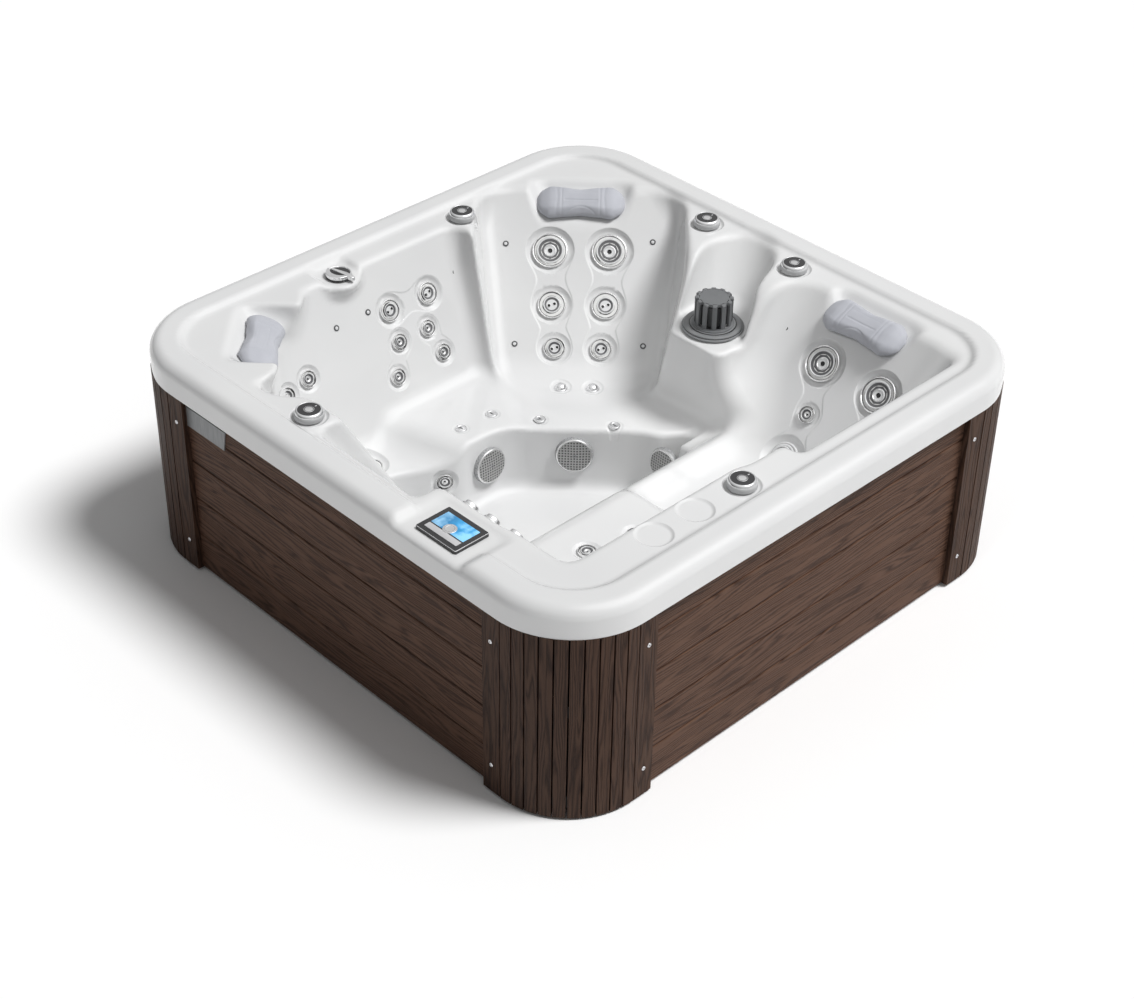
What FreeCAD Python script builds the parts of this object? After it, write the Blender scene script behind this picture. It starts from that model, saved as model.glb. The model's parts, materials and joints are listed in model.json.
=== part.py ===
"""Square outdoor hot tub for five people: a moulded acrylic shell with a corner seat, a side bench,
a low corner seat and a lounger, in a cabinet of dark wood-look boards. Millimetres, +Z up, origin on
the floor under the centre. The panel side faces -Y and the lounger runs along the +X side."""
import FreeCAD, Part
import math
import os

V = FreeCAD.Vector
UP = V(0, 0, 1)
os.makedirs("parts", exist_ok=True)

# Whole tub
tub_width = 2150.0
half = tub_width / 2
lip_corner_radius = 300.0
deck_height = 780.0
crest_rise = 16.0
crest_height = deck_height + crest_rise
lip_depth = 103.0
lip_bottom = crest_height - lip_depth
lip_rounding = 42.0
crest_inner_share = 0.9
overrun = 20.0
seat_gap = 0.3
running_gap = 0.8
# Sides of the many-sided forms that stand for round ones where a true round would cost too many facets
dish_sides = 16
round_sides = 12
small_sides = 8

# Moulded shell: levels, wall and roundings
shell_wall = 15.0
floor_height = 40.0
low_seat_height = 215.0
seat_height = 286.0
bench_height = 290.0
leg_rest_height = 395.0
shelf_depth = 180.0
shelf_height = deck_height - shelf_depth
pocket_top = crest_height + lip_rounding
seat_rounding = 0.055814 * half
wall_rounding = 0.0418605 * half
brow_rounding = 0.0204651 * half
well_top = seat_height + wall_rounding
lip_first_chamfer = 0.586 * lip_rounding
lip_second_chamfer = 0.215 * lip_rounding

# Walls of the moulded pockets: heading of the wall in degrees, reach from the centre at seat height
# as a share of the half width, and lean from upright in degrees
footwell_shares = [(180, 0.319, 5), (135, 0.212, 5), (90, 0.330, 5), (0, 0.200, 8), (270, 0.510, 12)]
cove_shares = [(145, 0.142, 5), (180, 0.446, 6), (270, 0.500, 12), (0, 0.140, 5)]
basin_shares = [(180, 0.279, 20), (135, 0.465, 46), (90, 0.4605, 1), (0, 0.200, 37), (270, 0.521, 29)]
front_bay_shares = [(270, 0.614, 29.5), (180, 0.112, 8), (0, 0.186, 9), (90, 0.0, 0)]
back_seat_shares = [(135, 0.510, 46), (45, 0.270, 10), (225, 0.270, 10),
                    (25, 0.109, 10), (245, 0.109, 10), (90, 0.862, 4), (180, 0.862, 4), (315, -0.112, 0)]
side_seats_shares = [(180, 0.598, 25), (270, 0.6456, 25), (225, 0.916, 5), (90, 0.1535, 8),
                     (315, 0.230, 10), (0, -0.186, 20)]
leg_rest_shares = [(0, 0.651, 16), (270, 0.530, 28), (180, -0.214, 37), (90, 0.372, 0)]
lounge_shares = [(0, 0.744, 12), (90, 0.4225, 40), (180, -0.307, 30), (180, -0.177, 1), (270, 0.02, 8)]
bench_shares = [(286.5, 0.078, -45)]
shelf_slope_shares = [(90, 0.548, 48), (180, 0.200, 2), (0, 0.214, 2), (270, -0.30, 0)]

# Filter alcove with its leaning back, and what stands on the shelf
alcove_radius = 130.0
alcove_shelf_place_shares = (0.0325, 0.5815)
alcove_deck_place_shares = (-0.0235, 0.735)
canister_radius = 88.0
canister_wall = 4.0
canister_length = 275.0
canister_flange = 5.0
filter_flange_ring = 12.0
filter_flange_height = 16.0
basket_radius = 67.0
basket_wall = 4.0
basket_height = 118.0
basket_collar = 8.0
basket_skirt_length = 36.0
basket_slots = 12
slot_share = 0.62
cartridge_radius = 78.0
cartridge_bore = 28.0
cartridge_length = 220.0
cartridge_pleats = 20
pleat_depth = 12.0

# Pillows: size, recess, and for each the heading it leans on, the reach of its middle as a share,
# and its place along the wall as a share
pillow_length = 330.0
pillow_height = 160.0
pillow_thickness = 50.0
pillow_lean = 66.0
pillow_recess_depth = 58.0
pillow_recess_height = deck_height - pillow_recess_depth
pillow_margin = 16.0
channel_radius = 3.5
channel_pitch = 24.0
channel_length = 130.0
# Pillow outline: place along the pillow, half height and thickness there, all as shares
pillow_section_shares = [(-0.5, 0.27, 0.34), (-0.46, 0.42, 0.72), (-0.36, 0.50, 0.97), (-0.18, 0.455, 1.0),
                         (0.0, 0.38, 0.95), (0.18, 0.455, 1.0), (0.36, 0.50, 0.97), (0.46, 0.42, 0.72),
                         (0.5, 0.27, 0.34)]
pillow_crown_shares = [(-0.86, 0.0), (-1.0, 0.26), (-0.93, 0.60), (-0.62, 0.92), (0.0, 1.0),
                       (0.62, 0.92), (0.93, 0.60), (1.0, 0.26), (0.86, 0.0)]
pillow_place_shares = {"pillow_back": (135, 0.963, 0.0), "pillow_right": (90, 0.777, 0.493),
                       "pillow_left": (225, 0.970, 0.0)}

# Turning jets: face, dish moulded in the shell, dish depth, hole through the wall
jet_width = 130.0
jet_size_shares = {"large": (1.0, 1.3692308, 0.0769231, 0.5692308), "medium": (0.7923077, 1.1615385, 0.0692308, 0.4769231),
                   "small": (0.6153846, 0.9692308, 0.0615385, 0.3846154), "mini": (0.4769231, 0.7538462, 0.0461538, 0.3076923)}
jet_sizes = {name: [share * jet_width for share in row] for name, row in jet_size_shares.items()}
jet_flange = 4.0
jet_flange_inset = 5.0
jet_face_height = 11.0
jet_barrel_length = 58.0
jet_barrel_wall = 4.0
jet_hole_gap = 0.5
jet_nose_length = 34.0
jet_nut_height = 12.0
jet_nut_ring = 11.0
nozzle_share = 0.17
nozzle_depth = 26.0

# Jets on the walls: size, wall, place along the wall and height above seat height, as shares of
# the half width and of the deck height
back_wall = (135, 0.510, 46)
side_wall = (180, 0.598, 25)
lounge_wall = (90, 0.4225, 40)
cove_wall = (145, 0.142, 5)
front_wall = (270, 0.530, 28)
wall_jet_shares = {
    "back_jet_1": ("large", back_wall, -0.1005, 0.423), "back_jet_2": ("large", back_wall, 0.1005, 0.423),
    "back_jet_3": ("medium", back_wall, -0.0905, 0.242), "back_jet_4": ("medium", back_wall, 0.0905, 0.242),
    "back_jet_5": ("small", back_wall, -0.078, 0.098), "back_jet_6": ("small", back_wall, 0.078, 0.098),
    "side_jet_1": ("small", side_wall, -0.124, 0.410), "side_jet_2": ("small", side_wall, 0.038, 0.409),
    "side_jet_3": ("mini", side_wall, -0.1265, 0.274), "side_jet_4": ("mini", side_wall, -0.0047, 0.276),
    "side_jet_5": ("mini", side_wall, 0.026, 0.156), "side_jet_6": ("mini", side_wall, -0.173, 0.145),
    "corner_jet_1": ("mini", side_wall, -0.4977, 0.298), "corner_jet_2": ("mini", side_wall, -0.5895, 0.272),
    "riser_jet": ("mini", cove_wall, -0.3995, -0.158),
    "lounge_jet_1": ("large", lounge_wall, 0.4177, 0.406), "lounge_jet_2": ("large", lounge_wall, 0.648, 0.399),
    "lounge_jet_3": ("mini", lounge_wall, 0.4605, 0.233)}
# Jets set in the seats: size, level, and place in plan as shares of the half width
level_jet_shares = {"corner_jet_3": ("small", low_seat_height, -0.516, -0.407),
                    "foot_jet_1": ("mini", leg_rest_height, 0.428, -0.367),
                    "foot_jet_2": ("mini", leg_rest_height, 0.467, -0.203)}

# Fixed fittings: flush seat jets, domed lumbar jets, front spouts and neck jets
flush_radius = 20.0
flush_height = 5.0
flush_stem = 12.0
flush_length = 34.0
flush_place_shares = [(-0.2685, 0.1030, seat_height), (-0.0770, 0.2545, seat_height),
                      (-0.398, -0.125, bench_height), (-0.3935, 0.004, bench_height)]
dome_place_shares = [(-0.3565, 0.2815, seat_height), (-0.2815, 0.3565, seat_height)]
spout_wall_shares = [(front_wall, -0.330, 0.537), (front_wall, -0.4186, 0.537), (front_wall, -0.5135, 0.537)]
neck_wall_shares = [((225, 0.916, 5), 0.105, 0.50), ((225, 0.916, 5), -0.105, 0.50)]
dome_cap_share = (lounge_wall, 0.4586, 0.072)

# Suction covers, on walls: place along and height, as for the jets
cover_radius = 66.0
cover_height = 24.0
cover_dome = 7.0
cover_stem = 24.0
cover_length = 42.0
cover_wall_shares = [((180, 0.319, 5), -0.090, -0.149), ((135, 0.212, 5), -0.003, -0.126),
                     ((90, 0.330, 5), 0.100, -0.133), (front_wall, -0.375, 0.395)]

# Air injectors on walls
injector_radius = 8.0
injector_height = 3.0
injector_stem = 4.0
injector_length = 24.0
injector_wall_shares = [(back_wall, -0.2508, 0.4412), (back_wall, 0.2462, 0.4562),
                        (back_wall, -0.2119, 0.1088), (back_wall, 0.2191, 0.1100),
                        (side_wall, 0.1642, 0.4435), (side_wall, -0.2083, 0.4421), (side_wall, -0.3399, 0.4372),
                        (lounge_wall, 0.2390, 0.4539), (lounge_wall, 0.2628, 0.2744)]

# Rim controls: cap knobs on their valves, and the diverter lever
cap_radius = 48.0
cap_height = 34.0
cap_bevel = 6.0
cap_hollow = 3.0
cap_dish_radius = 62.0
cap_dish_depth = 8.0
cap_hole_radius = 26.0
valve_length = 70.0
valve_flange = 3.0
valve_flange_radius = 34.0
valve_bore = 15.0
valve_stem_length = 40.0
cap_place_shares = {"air_cap_1": (-0.824, 0.268), "air_cap_2": (-0.241, 0.833), "air_cap_3": (0.149, 0.825),
                    "air_cap_4": (-0.248, -0.837), "air_cap_5": (0.832, -0.171)}
lever_place_shares = (-0.820, -0.262)
lever_recess_depth = 16.0
lever_recess_height = deck_height - lever_recess_depth
lever_base_radius = 40.0
lever_base_height = 20.0
lever_hub_radius = 30.0
lever_arm_length = 46.0
lever_arm_height = 12.0
lever_tip_radius = 13.0

# Control panel in its recess on the front rim
panel_place_shares = (0.442, -0.898)
panel_width = 175.0
panel_depth = 132.0
panel_height = 12.0
panel_corner = 8.0
panel_bevel = 3.0
screen_width = 118.0
screen_depth = 62.0
screen_recess = 1.5
screen_offset = 22.0
dial_radius = 19.0
dial_height = 2.0
dial_offset = -38.0
panel_recess_depth = 6.0
panel_recess_height = deck_height - panel_recess_depth
panel_recess_margin = 52.0

# Cup holders pressed in the right rim
cup_radius = 62.0
cup_depth = 9.0
cup_place_shares = [(0.828, -0.321), (0.828, -0.479)]

# Cabinet: boards, corner slats, posts, frame and base pan
board_inset = 25.0
board_face = half - board_inset
board_thickness = 20.0
board_pitch = 0.2164502 * lip_bottom
board_first_top = 0.97 * board_pitch
board_gap = 3.0
board_bevel = 3.0
board_count = 5
board_bottom = 8.0
board_tuck = 27.0
board_top = lip_bottom + board_tuck
corner_reach = 260.0
corner_centre = board_face - corner_reach
slat_outer = 282.0
slat_thickness = 20.0
slat_count = 10
slat_gap = 5.0
post_width = 72.0
post_inset = 298.0
post_line = board_face - post_inset
post_proud = 21.5
post_face = board_face + post_proud
screw_height_shares = (0.1645022, 0.8542569)
screw_head_radius = 7.5
screw_head_height = 3.2
rail_height = 45.0
rail_depth = 40.0
upright_width = 60.0
upright_place_shares = (-0.7238095, -0.2380952, 0.2380952, 0.7238095)
upright_lines = [share * board_face for share in upright_place_shares]
mid_ring_height = 0.5483405 * lip_bottom
pan_height = 25.0
pan_floor = 8.0
pan_rim = 60.0
pan_corner = 150.0
pad_shares = (-0.30, -0.46, 0.17, 0.30)

# Pump, heater and controls behind the panel side, standing on the pan
pump_x_share = -0.25
pump_wall_distance = 200.75
pump_axis_height = 125.0
motor_radius = 78.0
motor_length = 280.0
motor_fins = 16
motor_fin = 6.0
motor_bore_length = 60.0
volute_radius = 105.0
volute_length = 78.0
volute_wall = 8.0
impeller_radius = 84.0
impeller_plate = 6.0
impeller_blades = 6
blade_height = 22.0
blade_thickness = 6.0
rotor_shaft_radius = 9.0
foot_width = 130.0
foot_length = 200.0
pipe_radius = 31.0
manifold_height = 330.0
manifold_length = 480.0
heater_radius = 42.0
heater_length = 380.0
heater_start_share = 0.22
saddle_width = 40.0
control_box_width = 520.0
control_box_depth = 130.0
control_box_height = 260.0
control_box_bottom = 240.0
control_box_lid = 12.0
gland_radius = 14.0
gland_bore = 6.0
gland_length = 46.0
gland_head = 14.0
gland_place_share = 0.12
gland_height = 100.0


def turn(degrees):
    return V(math.cos(math.radians(degrees)), math.sin(math.radians(degrees)), 0)


def outward(heading, lean):
    tilt = math.radians(lean)
    return turn(heading) * math.cos(tilt) - UP * math.sin(tilt)


def half_space(normal, point):
    size = 4 * half
    block = Part.makeBox(size, size, size, V(-size / 2, -size / 2, 0))
    block.Placement = FreeCAD.Placement(point, FreeCAD.Rotation(UP, normal))
    return block


def carved(block, walls, level, grow):
    for heading, reach_share, lean in walls:
        normal = outward(heading, lean)
        point = turn(heading) * (reach_share * half) + UP * level + normal * grow
        block = block.cut(half_space(normal, point))
    return block


def rounded(block, radius):
    low = min(v.Z for v in block.Vertexes)
    edges = [edge for edge in block.Edges if max(v.Z for v in edge.Vertexes) < low + seat_gap]
    return block.makeFillet(radius, edges)


def pocket(walls, bottom, top, rounding, grow, level=seat_height):
    block = Part.makeBox(2 * tub_width, 2 * tub_width, top - bottom + grow, V(-tub_width, -tub_width, bottom - grow))
    block = carved(block, walls, level, grow)
    return rounded(block, rounding) if grow == 0 and rounding > 0 else block


def bench_block(grow):
    bottom = low_seat_height - shell_wall - overrun
    block = Part.makeBox(tub_width, tub_width, bench_height - grow - bottom, V(-half, -half, bottom))
    block = carved(block, bench_shares, bench_height, -grow)
    if grow > 0:
        return block
    lip = turn(bench_shares[0][0]) * (bench_shares[0][1] * half) + UP * bench_height
    brow = [edge for edge in block.Edges if edge.distToShape(Part.Vertex(lip))[0] < seat_gap]
    return block.makeFillet(brow_rounding, brow)


def alcove(grow):
    """Round shelf for the filter, with a leaning round back that runs up to the rim."""
    low = V(alcove_shelf_place_shares[0] * half, alcove_shelf_place_shares[1] * half, shelf_height)
    high = V(alcove_deck_place_shares[0] * half, alcove_deck_place_shares[1] * half, deck_height)
    radius = alcove_radius + grow
    well = Part.makeCylinder(radius, deck_height - shelf_height, low - UP * grow)
    axis = high - low
    back = Part.makeCylinder(radius, axis.Length * 2, low, axis).cut(half_space(UP * -1, low - UP * grow))
    back = back.cut(half_space(UP, UP * pocket_top))
    return well.fuse(back)


def pillow_recess(heading, reach_share, along_share, grow):
    reach = reach_share
    side = (pillow_length / 2 + pillow_margin) / half
    back = (pillow_height / 2 + pillow_margin) / half
    walls = [(heading, reach, pillow_lean), (heading - 90, along_share + side, 14),
             (heading + 90, side - along_share, 14), (heading, reach + back, 12),
             (heading + 180, pillow_height / half - reach, 0)]
    return pocket(walls, shelf_height, pocket_top, 0, grow, pillow_recess_height)


def lever_recess(grow):
    x_share, y_share = lever_place_shares
    size = 1.75 * lever_base_radius / half
    walls = [(180, -x_share + size, 20), (90, y_share + size, 20), (270, size - y_share, 20), (0, x_share + 2 * size, 0)]
    return pocket(walls, lever_recess_height, pocket_top, 0, grow, lever_recess_height)


def panel_recess(grow):
    x_share, y_share = panel_place_shares
    side = (panel_width / 2 + panel_recess_margin) / half
    back = (panel_depth / 2 + panel_recess_margin / 2) / half
    walls = [(180, side - x_share, 35), (0, side + x_share, 35), (90, y_share + back, 35)]
    return pocket(walls, panel_recess_height, pocket_top, 0, grow, panel_recess_height)


def wet_pockets(grow):
    side = pocket(side_seats_shares, low_seat_height, pocket_top, seat_rounding, grow)
    side = side.cut(bench_block(grow))
    others = [
        pocket(footwell_shares, floor_height, well_top, wall_rounding, grow),
        pocket(cove_shares, floor_height, well_top, wall_rounding, grow),
        pocket(basin_shares, seat_height, pocket_top, wall_rounding, grow),
        pocket(front_bay_shares, seat_height, pocket_top, wall_rounding, grow),
        pocket(back_seat_shares, seat_height, pocket_top, wall_rounding, grow),
        pocket(leg_rest_shares, leg_rest_height, pocket_top, wall_rounding, grow),
        pocket(lounge_shares, bench_height, pocket_top, seat_rounding, grow),
        pocket(shelf_slope_shares, shelf_height, pocket_top, 0, grow, shelf_height),
        alcove(grow), lever_recess(grow), panel_recess(grow)]
    others += [pillow_recess(*place, grow) for place in pillow_place_shares.values()]
    return side.fuse(others)


def plate(half_width, corner_radius, bottom, top):
    size = 2 * half_width
    block = Part.makeBox(size, size, top - bottom, V(-half_width, -half_width, bottom))
    upright = [edge for edge in block.Edges if abs(edge.Vertexes[0].Z - edge.Vertexes[1].Z) > seat_gap]
    return block.makeFillet(corner_radius, upright)


def prism(outline, height, bottom):
    face = Part.Face(Part.makePolygon([V(x, y, bottom) for x, y in outline + outline[:1]]))
    return face.extrude(UP * height)


def stitched(faces):
    skin = Part.makeShell(faces)
    skin.sewShape()
    solid = Part.Solid(skin.Shells[0])
    return solid if solid.Volume > 0 else solid.reversed()


def polygon(points):
    return Part.Face(Part.makePolygon(points + points[:1]))


def faceted(outline, sides):
    """Many-sided form about +Z, from pairs of corner radius and height."""
    spokes = [turn(360 * k / sides) for k in range(sides)]
    faces = []
    for (first, low), (second, high) in zip(outline, outline[1:] + outline[:1]):
        if first * second > 0:
            for here, there in zip(spokes, spokes[1:] + spokes[:1]):
                faces.append(polygon([here * first + UP * low, here * second + UP * high,
                                      there * second + UP * high, there * first + UP * low]))
        elif first + second > 0:
            faces.append(polygon([spoke * (first + second) + UP * low for spoke in spokes]))
    return stitched(faces)


def box_at(width, depth, height, middle_x, middle_y, bottom):
    return Part.makeBox(width, depth, height, V(middle_x - width / 2, middle_y - depth / 2, bottom))


def around(solids):
    return [solid.rotated(V(0, 0, 0), UP, 90 * k) for solid in solids for k in range(4)]


def placed(shape, point, axis, side=V(0, 0, 0)):
    rotation = FreeCAD.Rotation(UP, axis)
    if side.Length > 0:
        rotation = FreeCAD.Rotation(side, axis.cross(side), axis, "ZXY")
    moved = shape.copy()
    moved.Placement = FreeCAD.Placement(point, rotation).multiply(shape.Placement)
    return moved


def on_wall(wall, along_share, height_share):
    """Point on a moulded wall, and the direction from the wall into the water."""
    heading, reach_share, lean = wall
    rise = height_share * deck_height
    reach = reach_share * half + rise * math.tan(math.radians(lean))
    point = turn(heading) * reach + turn(heading - 90) * (along_share * half) + UP * (seat_height + rise)
    return point, outward(heading, lean) * -1


def write(name, solids):
    shape = solids[0] if len(solids) == 1 else Part.makeCompound(solids)
    shape.exportStep("parts/" + name + ".step")
    print(name, len(solids), round(sum(solid.Volume for solid in solids)))


def jet_places():
    places = {}
    for name, (size, wall, along_share, height_share) in wall_jet_shares.items():
        places[name] = (size,) + on_wall(wall, along_share, height_share)
    for name, (size, level, x_share, y_share) in level_jet_shares.items():
        places[name] = (size, V(x_share * half, y_share * half, level), UP)
    return places


jets = jet_places()


def jet_cut(size):
    """Dish and hole of one jet, from the face of the wall."""
    face, dish, depth, hole = jet_sizes[size]
    foot = dish / 2 - depth
    bowl = faceted([(0, -depth), (foot, -depth), (dish / 2, 0), (dish / 2, overrun), (0, overrun)], dish_sides)
    bore = [(0, -3 * shell_wall), (hole / 2, -3 * shell_wall), (hole / 2, 0), (0, 0)]
    return bowl.fuse(faceted(bore, small_sides))


def jet_barrel(size):
    return jet_sizes[size][3] / 2 - jet_hole_gap


def jet_body(size):
    """Open tube with a flange in the dish, held from behind by a nut."""
    face, dish, depth, hole = jet_sizes[size]
    barrel = jet_barrel(size)
    bore = barrel - jet_barrel_wall
    flange = face / 2 - jet_flange_inset
    end = -depth - jet_barrel_length
    outline = [(barrel, end), (barrel, -depth), (flange, -depth), (flange, jet_flange - depth),
               (bore, jet_flange - depth), (bore, end)]
    return faceted(outline, small_sides)


def jet_nut(size):
    barrel = jet_barrel(size)
    wide = barrel + jet_nut_ring
    bore = barrel + seat_gap
    nut = faceted([(0, -jet_nut_height), (wide, -jet_nut_height), (wide, 0), (0, 0)], 6)
    return nut.cut(faceted([(0, -jet_nut_height), (bore, -jet_nut_height), (bore, 0), (0, 0)], small_sides))


def jet_insert(size):
    """Face that turns to open or close the jet, with its nose in the body and its nozzle holes."""
    face, dish, depth, hole = jet_sizes[size]
    rim = face / 2
    nose = (jet_barrel(size) - jet_barrel_wall) * math.cos(math.pi / small_sides) - running_gap
    base = jet_flange + seat_gap - depth
    top = base + jet_face_height
    outline = [(0, base - jet_nose_length), (nose, base - jet_nose_length), (nose, base), (rim, base),
               (0.92 * rim, top), (0.74 * rim, top), (0.34 * rim, base + jet_face_height / 3),
               (0, base + jet_face_height / 3)]
    insert = faceted(outline, round_sides)
    nozzle = nozzle_share * rim
    shift = 0.0 if size == "large" else 1.25 * nozzle
    hole_shape = faceted([(0, 0), (nozzle, 0), (nozzle, nozzle_depth), (0, nozzle_depth)], 6)
    for offset in {-shift, shift}:
        insert = insert.cut(hole_shape.translated(V(offset, nozzle / 3, base + jet_face_height / 3 - nozzle_depth / 2)))
    return insert


def stud(head_outline, stem, length, sides):
    return faceted([(0, -length), (stem, -length), (stem, 0)] + head_outline, sides)


def flush_fitting():
    head = [(flush_radius, 0), (flush_radius - flush_height, flush_height), (0, flush_height)]
    return stud(head, flush_stem, flush_length, small_sides)


def dome_fitting():
    head = [(1.25 * flush_radius, 0), (flush_radius, flush_height), (0.5 * flush_radius, 0.9 * flush_radius),
            (0, 0.9 * flush_radius)]
    return stud(head, flush_stem, flush_length, small_sides)


def spout_fitting():
    head = [(1.6 * flush_radius, 0), (1.2 * flush_radius, 4 * flush_height), (0.8 * flush_radius, 2 * flush_height),
            (0, 2 * flush_height)]
    return stud(head, flush_stem, flush_length, small_sides)


def suction_cover():
    head = [(cover_radius, 0), (cover_radius, cover_height - cover_dome), (cover_radius - cover_dome, cover_height),
            (0, cover_height)]
    return stud(head, cover_stem, cover_length, round_sides)


def injector():
    return faceted([(0, 0), (injector_radius, 0), (injector_radius - injector_height, injector_height),
                    (0, injector_height)], small_sides)


def fixed_places():
    floors = [(V(x * half, y * half, level), UP) for x, y, level in flush_place_shares]
    domes = [(V(x * half, y * half, level), UP) for x, y, level in dome_place_shares]
    spouts = [on_wall(*row) for row in spout_wall_shares]
    necks = [on_wall(*row) for row in neck_wall_shares]
    return floors, domes, spouts, necks


floor_fittings, dome_fittings, spout_fittings, neck_fittings = fixed_places()
dome_cap = on_wall(*dome_cap_share)
covers = [on_wall(*row) for row in cover_wall_shares]
injectors = [on_wall(*row) for row in injector_wall_shares]
cap_places = {name: V(x * half, y * half, deck_height) for name, (x, y) in cap_place_shares.items()}
lever_place = V(lever_place_shares[0] * half, lever_place_shares[1] * half, lever_recess_height)
filter_place = V(alcove_shelf_place_shares[0] * half, alcove_shelf_place_shares[1] * half, shelf_height)
panel_place = V(panel_place_shares[0] * half, panel_place_shares[1] * half, panel_recess_height)
pump_place = V(pump_x_share * half, pump_wall_distance - board_face, pump_axis_height)


def stem_hole(stem, sides, depth=3 * shell_wall):
    wide = stem + jet_hole_gap
    return faceted([(0, -depth), (wide, -depth), (wide, shell_wall), (0, shell_wall)], sides)


def lip():
    outer = plate(half, lip_corner_radius, lip_bottom, crest_height)
    rim = [edge for edge in outer.Edges if min(v.Z for v in edge.Vertexes) > crest_height - seat_gap]
    outer = outer.makeChamfer(lip_first_chamfer, rim)
    levels = (crest_height, crest_height - lip_first_chamfer)
    for level in levels:
        loop = [edge for edge in outer.Edges if all(abs(v.Z - level) < seat_gap for v in edge.Vertexes)]
        outer = outer.makeChamfer(lip_second_chamfer, loop)
    return outer


def shell():
    inside = plate(half - shell_wall, lip_corner_radius - shell_wall, lip_bottom - overrun, deck_height - shell_wall)
    deck_half = crest_inner_share * half
    deck = plate(deck_half, lip_corner_radius - half + deck_half, deck_height, crest_height + overrun)
    block = plate(half - shell_wall, lip_corner_radius - shell_wall, 0, deck_height)
    body = lip().cut(inside).fuse(wet_pockets(shell_wall).common(block))
    cuts = [wet_pockets(0.0), deck]
    for size, point, axis in jets.values():
        cuts.append(placed(jet_cut(size), point, axis))
    hole = stem_hole(flush_stem, small_sides)
    for point, axis in floor_fittings + dome_fittings + spout_fittings + neck_fittings + [dome_cap]:
        cuts.append(placed(hole, point, axis))
    hole = stem_hole(cover_stem, round_sides)
    cuts += [placed(hole, point, axis) for point, axis in covers]
    dish = faceted([(0, -cap_dish_depth), (cap_dish_radius - cap_dish_depth, -cap_dish_depth), (cap_dish_radius, 0),
                    (cap_dish_radius, overrun), (0, overrun)], dish_sides)
    hole = stem_hole(cap_hole_radius, small_sides, valve_length + valve_flange)
    for point in cap_places.values():
        cuts += [placed(dish, point, UP), placed(hole, point, UP)]
    cuts.append(placed(hole, lever_place, UP))
    cup = faceted([(0, -cup_depth), (cup_radius - cup_depth, -cup_depth), (cup_radius, 0), (cup_radius, overrun),
                   (0, overrun)], 2 * round_sides)
    cuts += [placed(cup, V(x * half, y * half, deck_height), UP) for x, y in cup_place_shares]
    cuts.append(placed(stem_hole(canister_radius, dish_sides), filter_place, UP))
    return body.cut(cuts).Solids[0]


def valve_body(base):
    """Body of an air valve, its flange on the floor of the dish and its bore for the stem of the knob."""
    end = base - valve_length
    floor = base - valve_stem_length - valve_flange
    outline = [(0, end), (cap_hole_radius, end), (cap_hole_radius, base), (valve_flange_radius, base),
               (valve_flange_radius, base + valve_flange), (valve_bore, base + valve_flange), (valve_bore, floor),
               (0, floor)]
    return faceted(outline, small_sides)


def knob_stem():
    radius = valve_bore * math.cos(math.pi / small_sides) - running_gap
    return [(0, -valve_stem_length), (radius, -valve_stem_length), (radius, valve_flange + seat_gap)]


def air_cap():
    base = valve_flange + seat_gap
    skirt = [(cap_radius, base), (cap_radius, cap_height - cap_bevel), (cap_radius - cap_bevel, cap_height),
             (cap_radius - 2 * cap_bevel, cap_height), (cap_radius - 2 * cap_bevel, cap_height - cap_hollow),
             (0, cap_height - cap_hollow)]
    return faceted(knob_stem() + skirt, dish_sides)


def diverter_lever():
    base = valve_flange + seat_gap
    hub = faceted(knob_stem() + [(lever_base_radius, base), (lever_base_radius, base + lever_arm_height / 2),
                                 (lever_hub_radius, lever_base_height), (0, lever_base_height)], dish_sides)
    width = lever_tip_radius
    outline = [(0, -1.5 * width), (lever_arm_length, -width), (lever_arm_length + width, 0), (lever_arm_length, width),
               (0, 1.5 * width)]
    arm = prism(outline, lever_arm_height, base + running_gap)
    return hub.fuse(arm).removeSplitter()


def canister():
    wide = canister_radius + canister_flange
    outline = [(0, -canister_length), (canister_radius, -canister_length), (canister_radius, 0), (wide, 0),
               (wide, canister_flange), (canister_radius - canister_wall, canister_flange),
               (canister_radius - canister_wall, canister_wall - canister_length), (0, canister_wall - canister_length)]
    return faceted(outline, dish_sides)


def filter_flange():
    wide = canister_radius + canister_flange + filter_flange_ring
    inner = canister_radius + canister_flange + running_gap
    bore = (basket_radius + running_gap) / math.cos(math.pi / dish_sides)
    outline = [(wide, 0), (wide - canister_flange, filter_flange_height), (bore, filter_flange_height),
               (bore, canister_flange + seat_gap), (inner, canister_flange + seat_gap), (inner, 0)]
    return faceted(outline, dish_sides)


def cartridge():
    bottom = canister_wall + seat_gap - canister_length
    count = 2 * cartridge_pleats
    points = []
    for k in range(count):
        points.append(turn(360 * k / count) * (cartridge_radius - pleat_depth * (k % 2)) + UP * bottom)
    star = polygon(points).extrude(UP * cartridge_length)
    return star.cut(faceted([(0, bottom), (cartridge_bore, bottom), (cartridge_bore, bottom + cartridge_length),
                             (0, bottom + cartridge_length)], small_sides))


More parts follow.
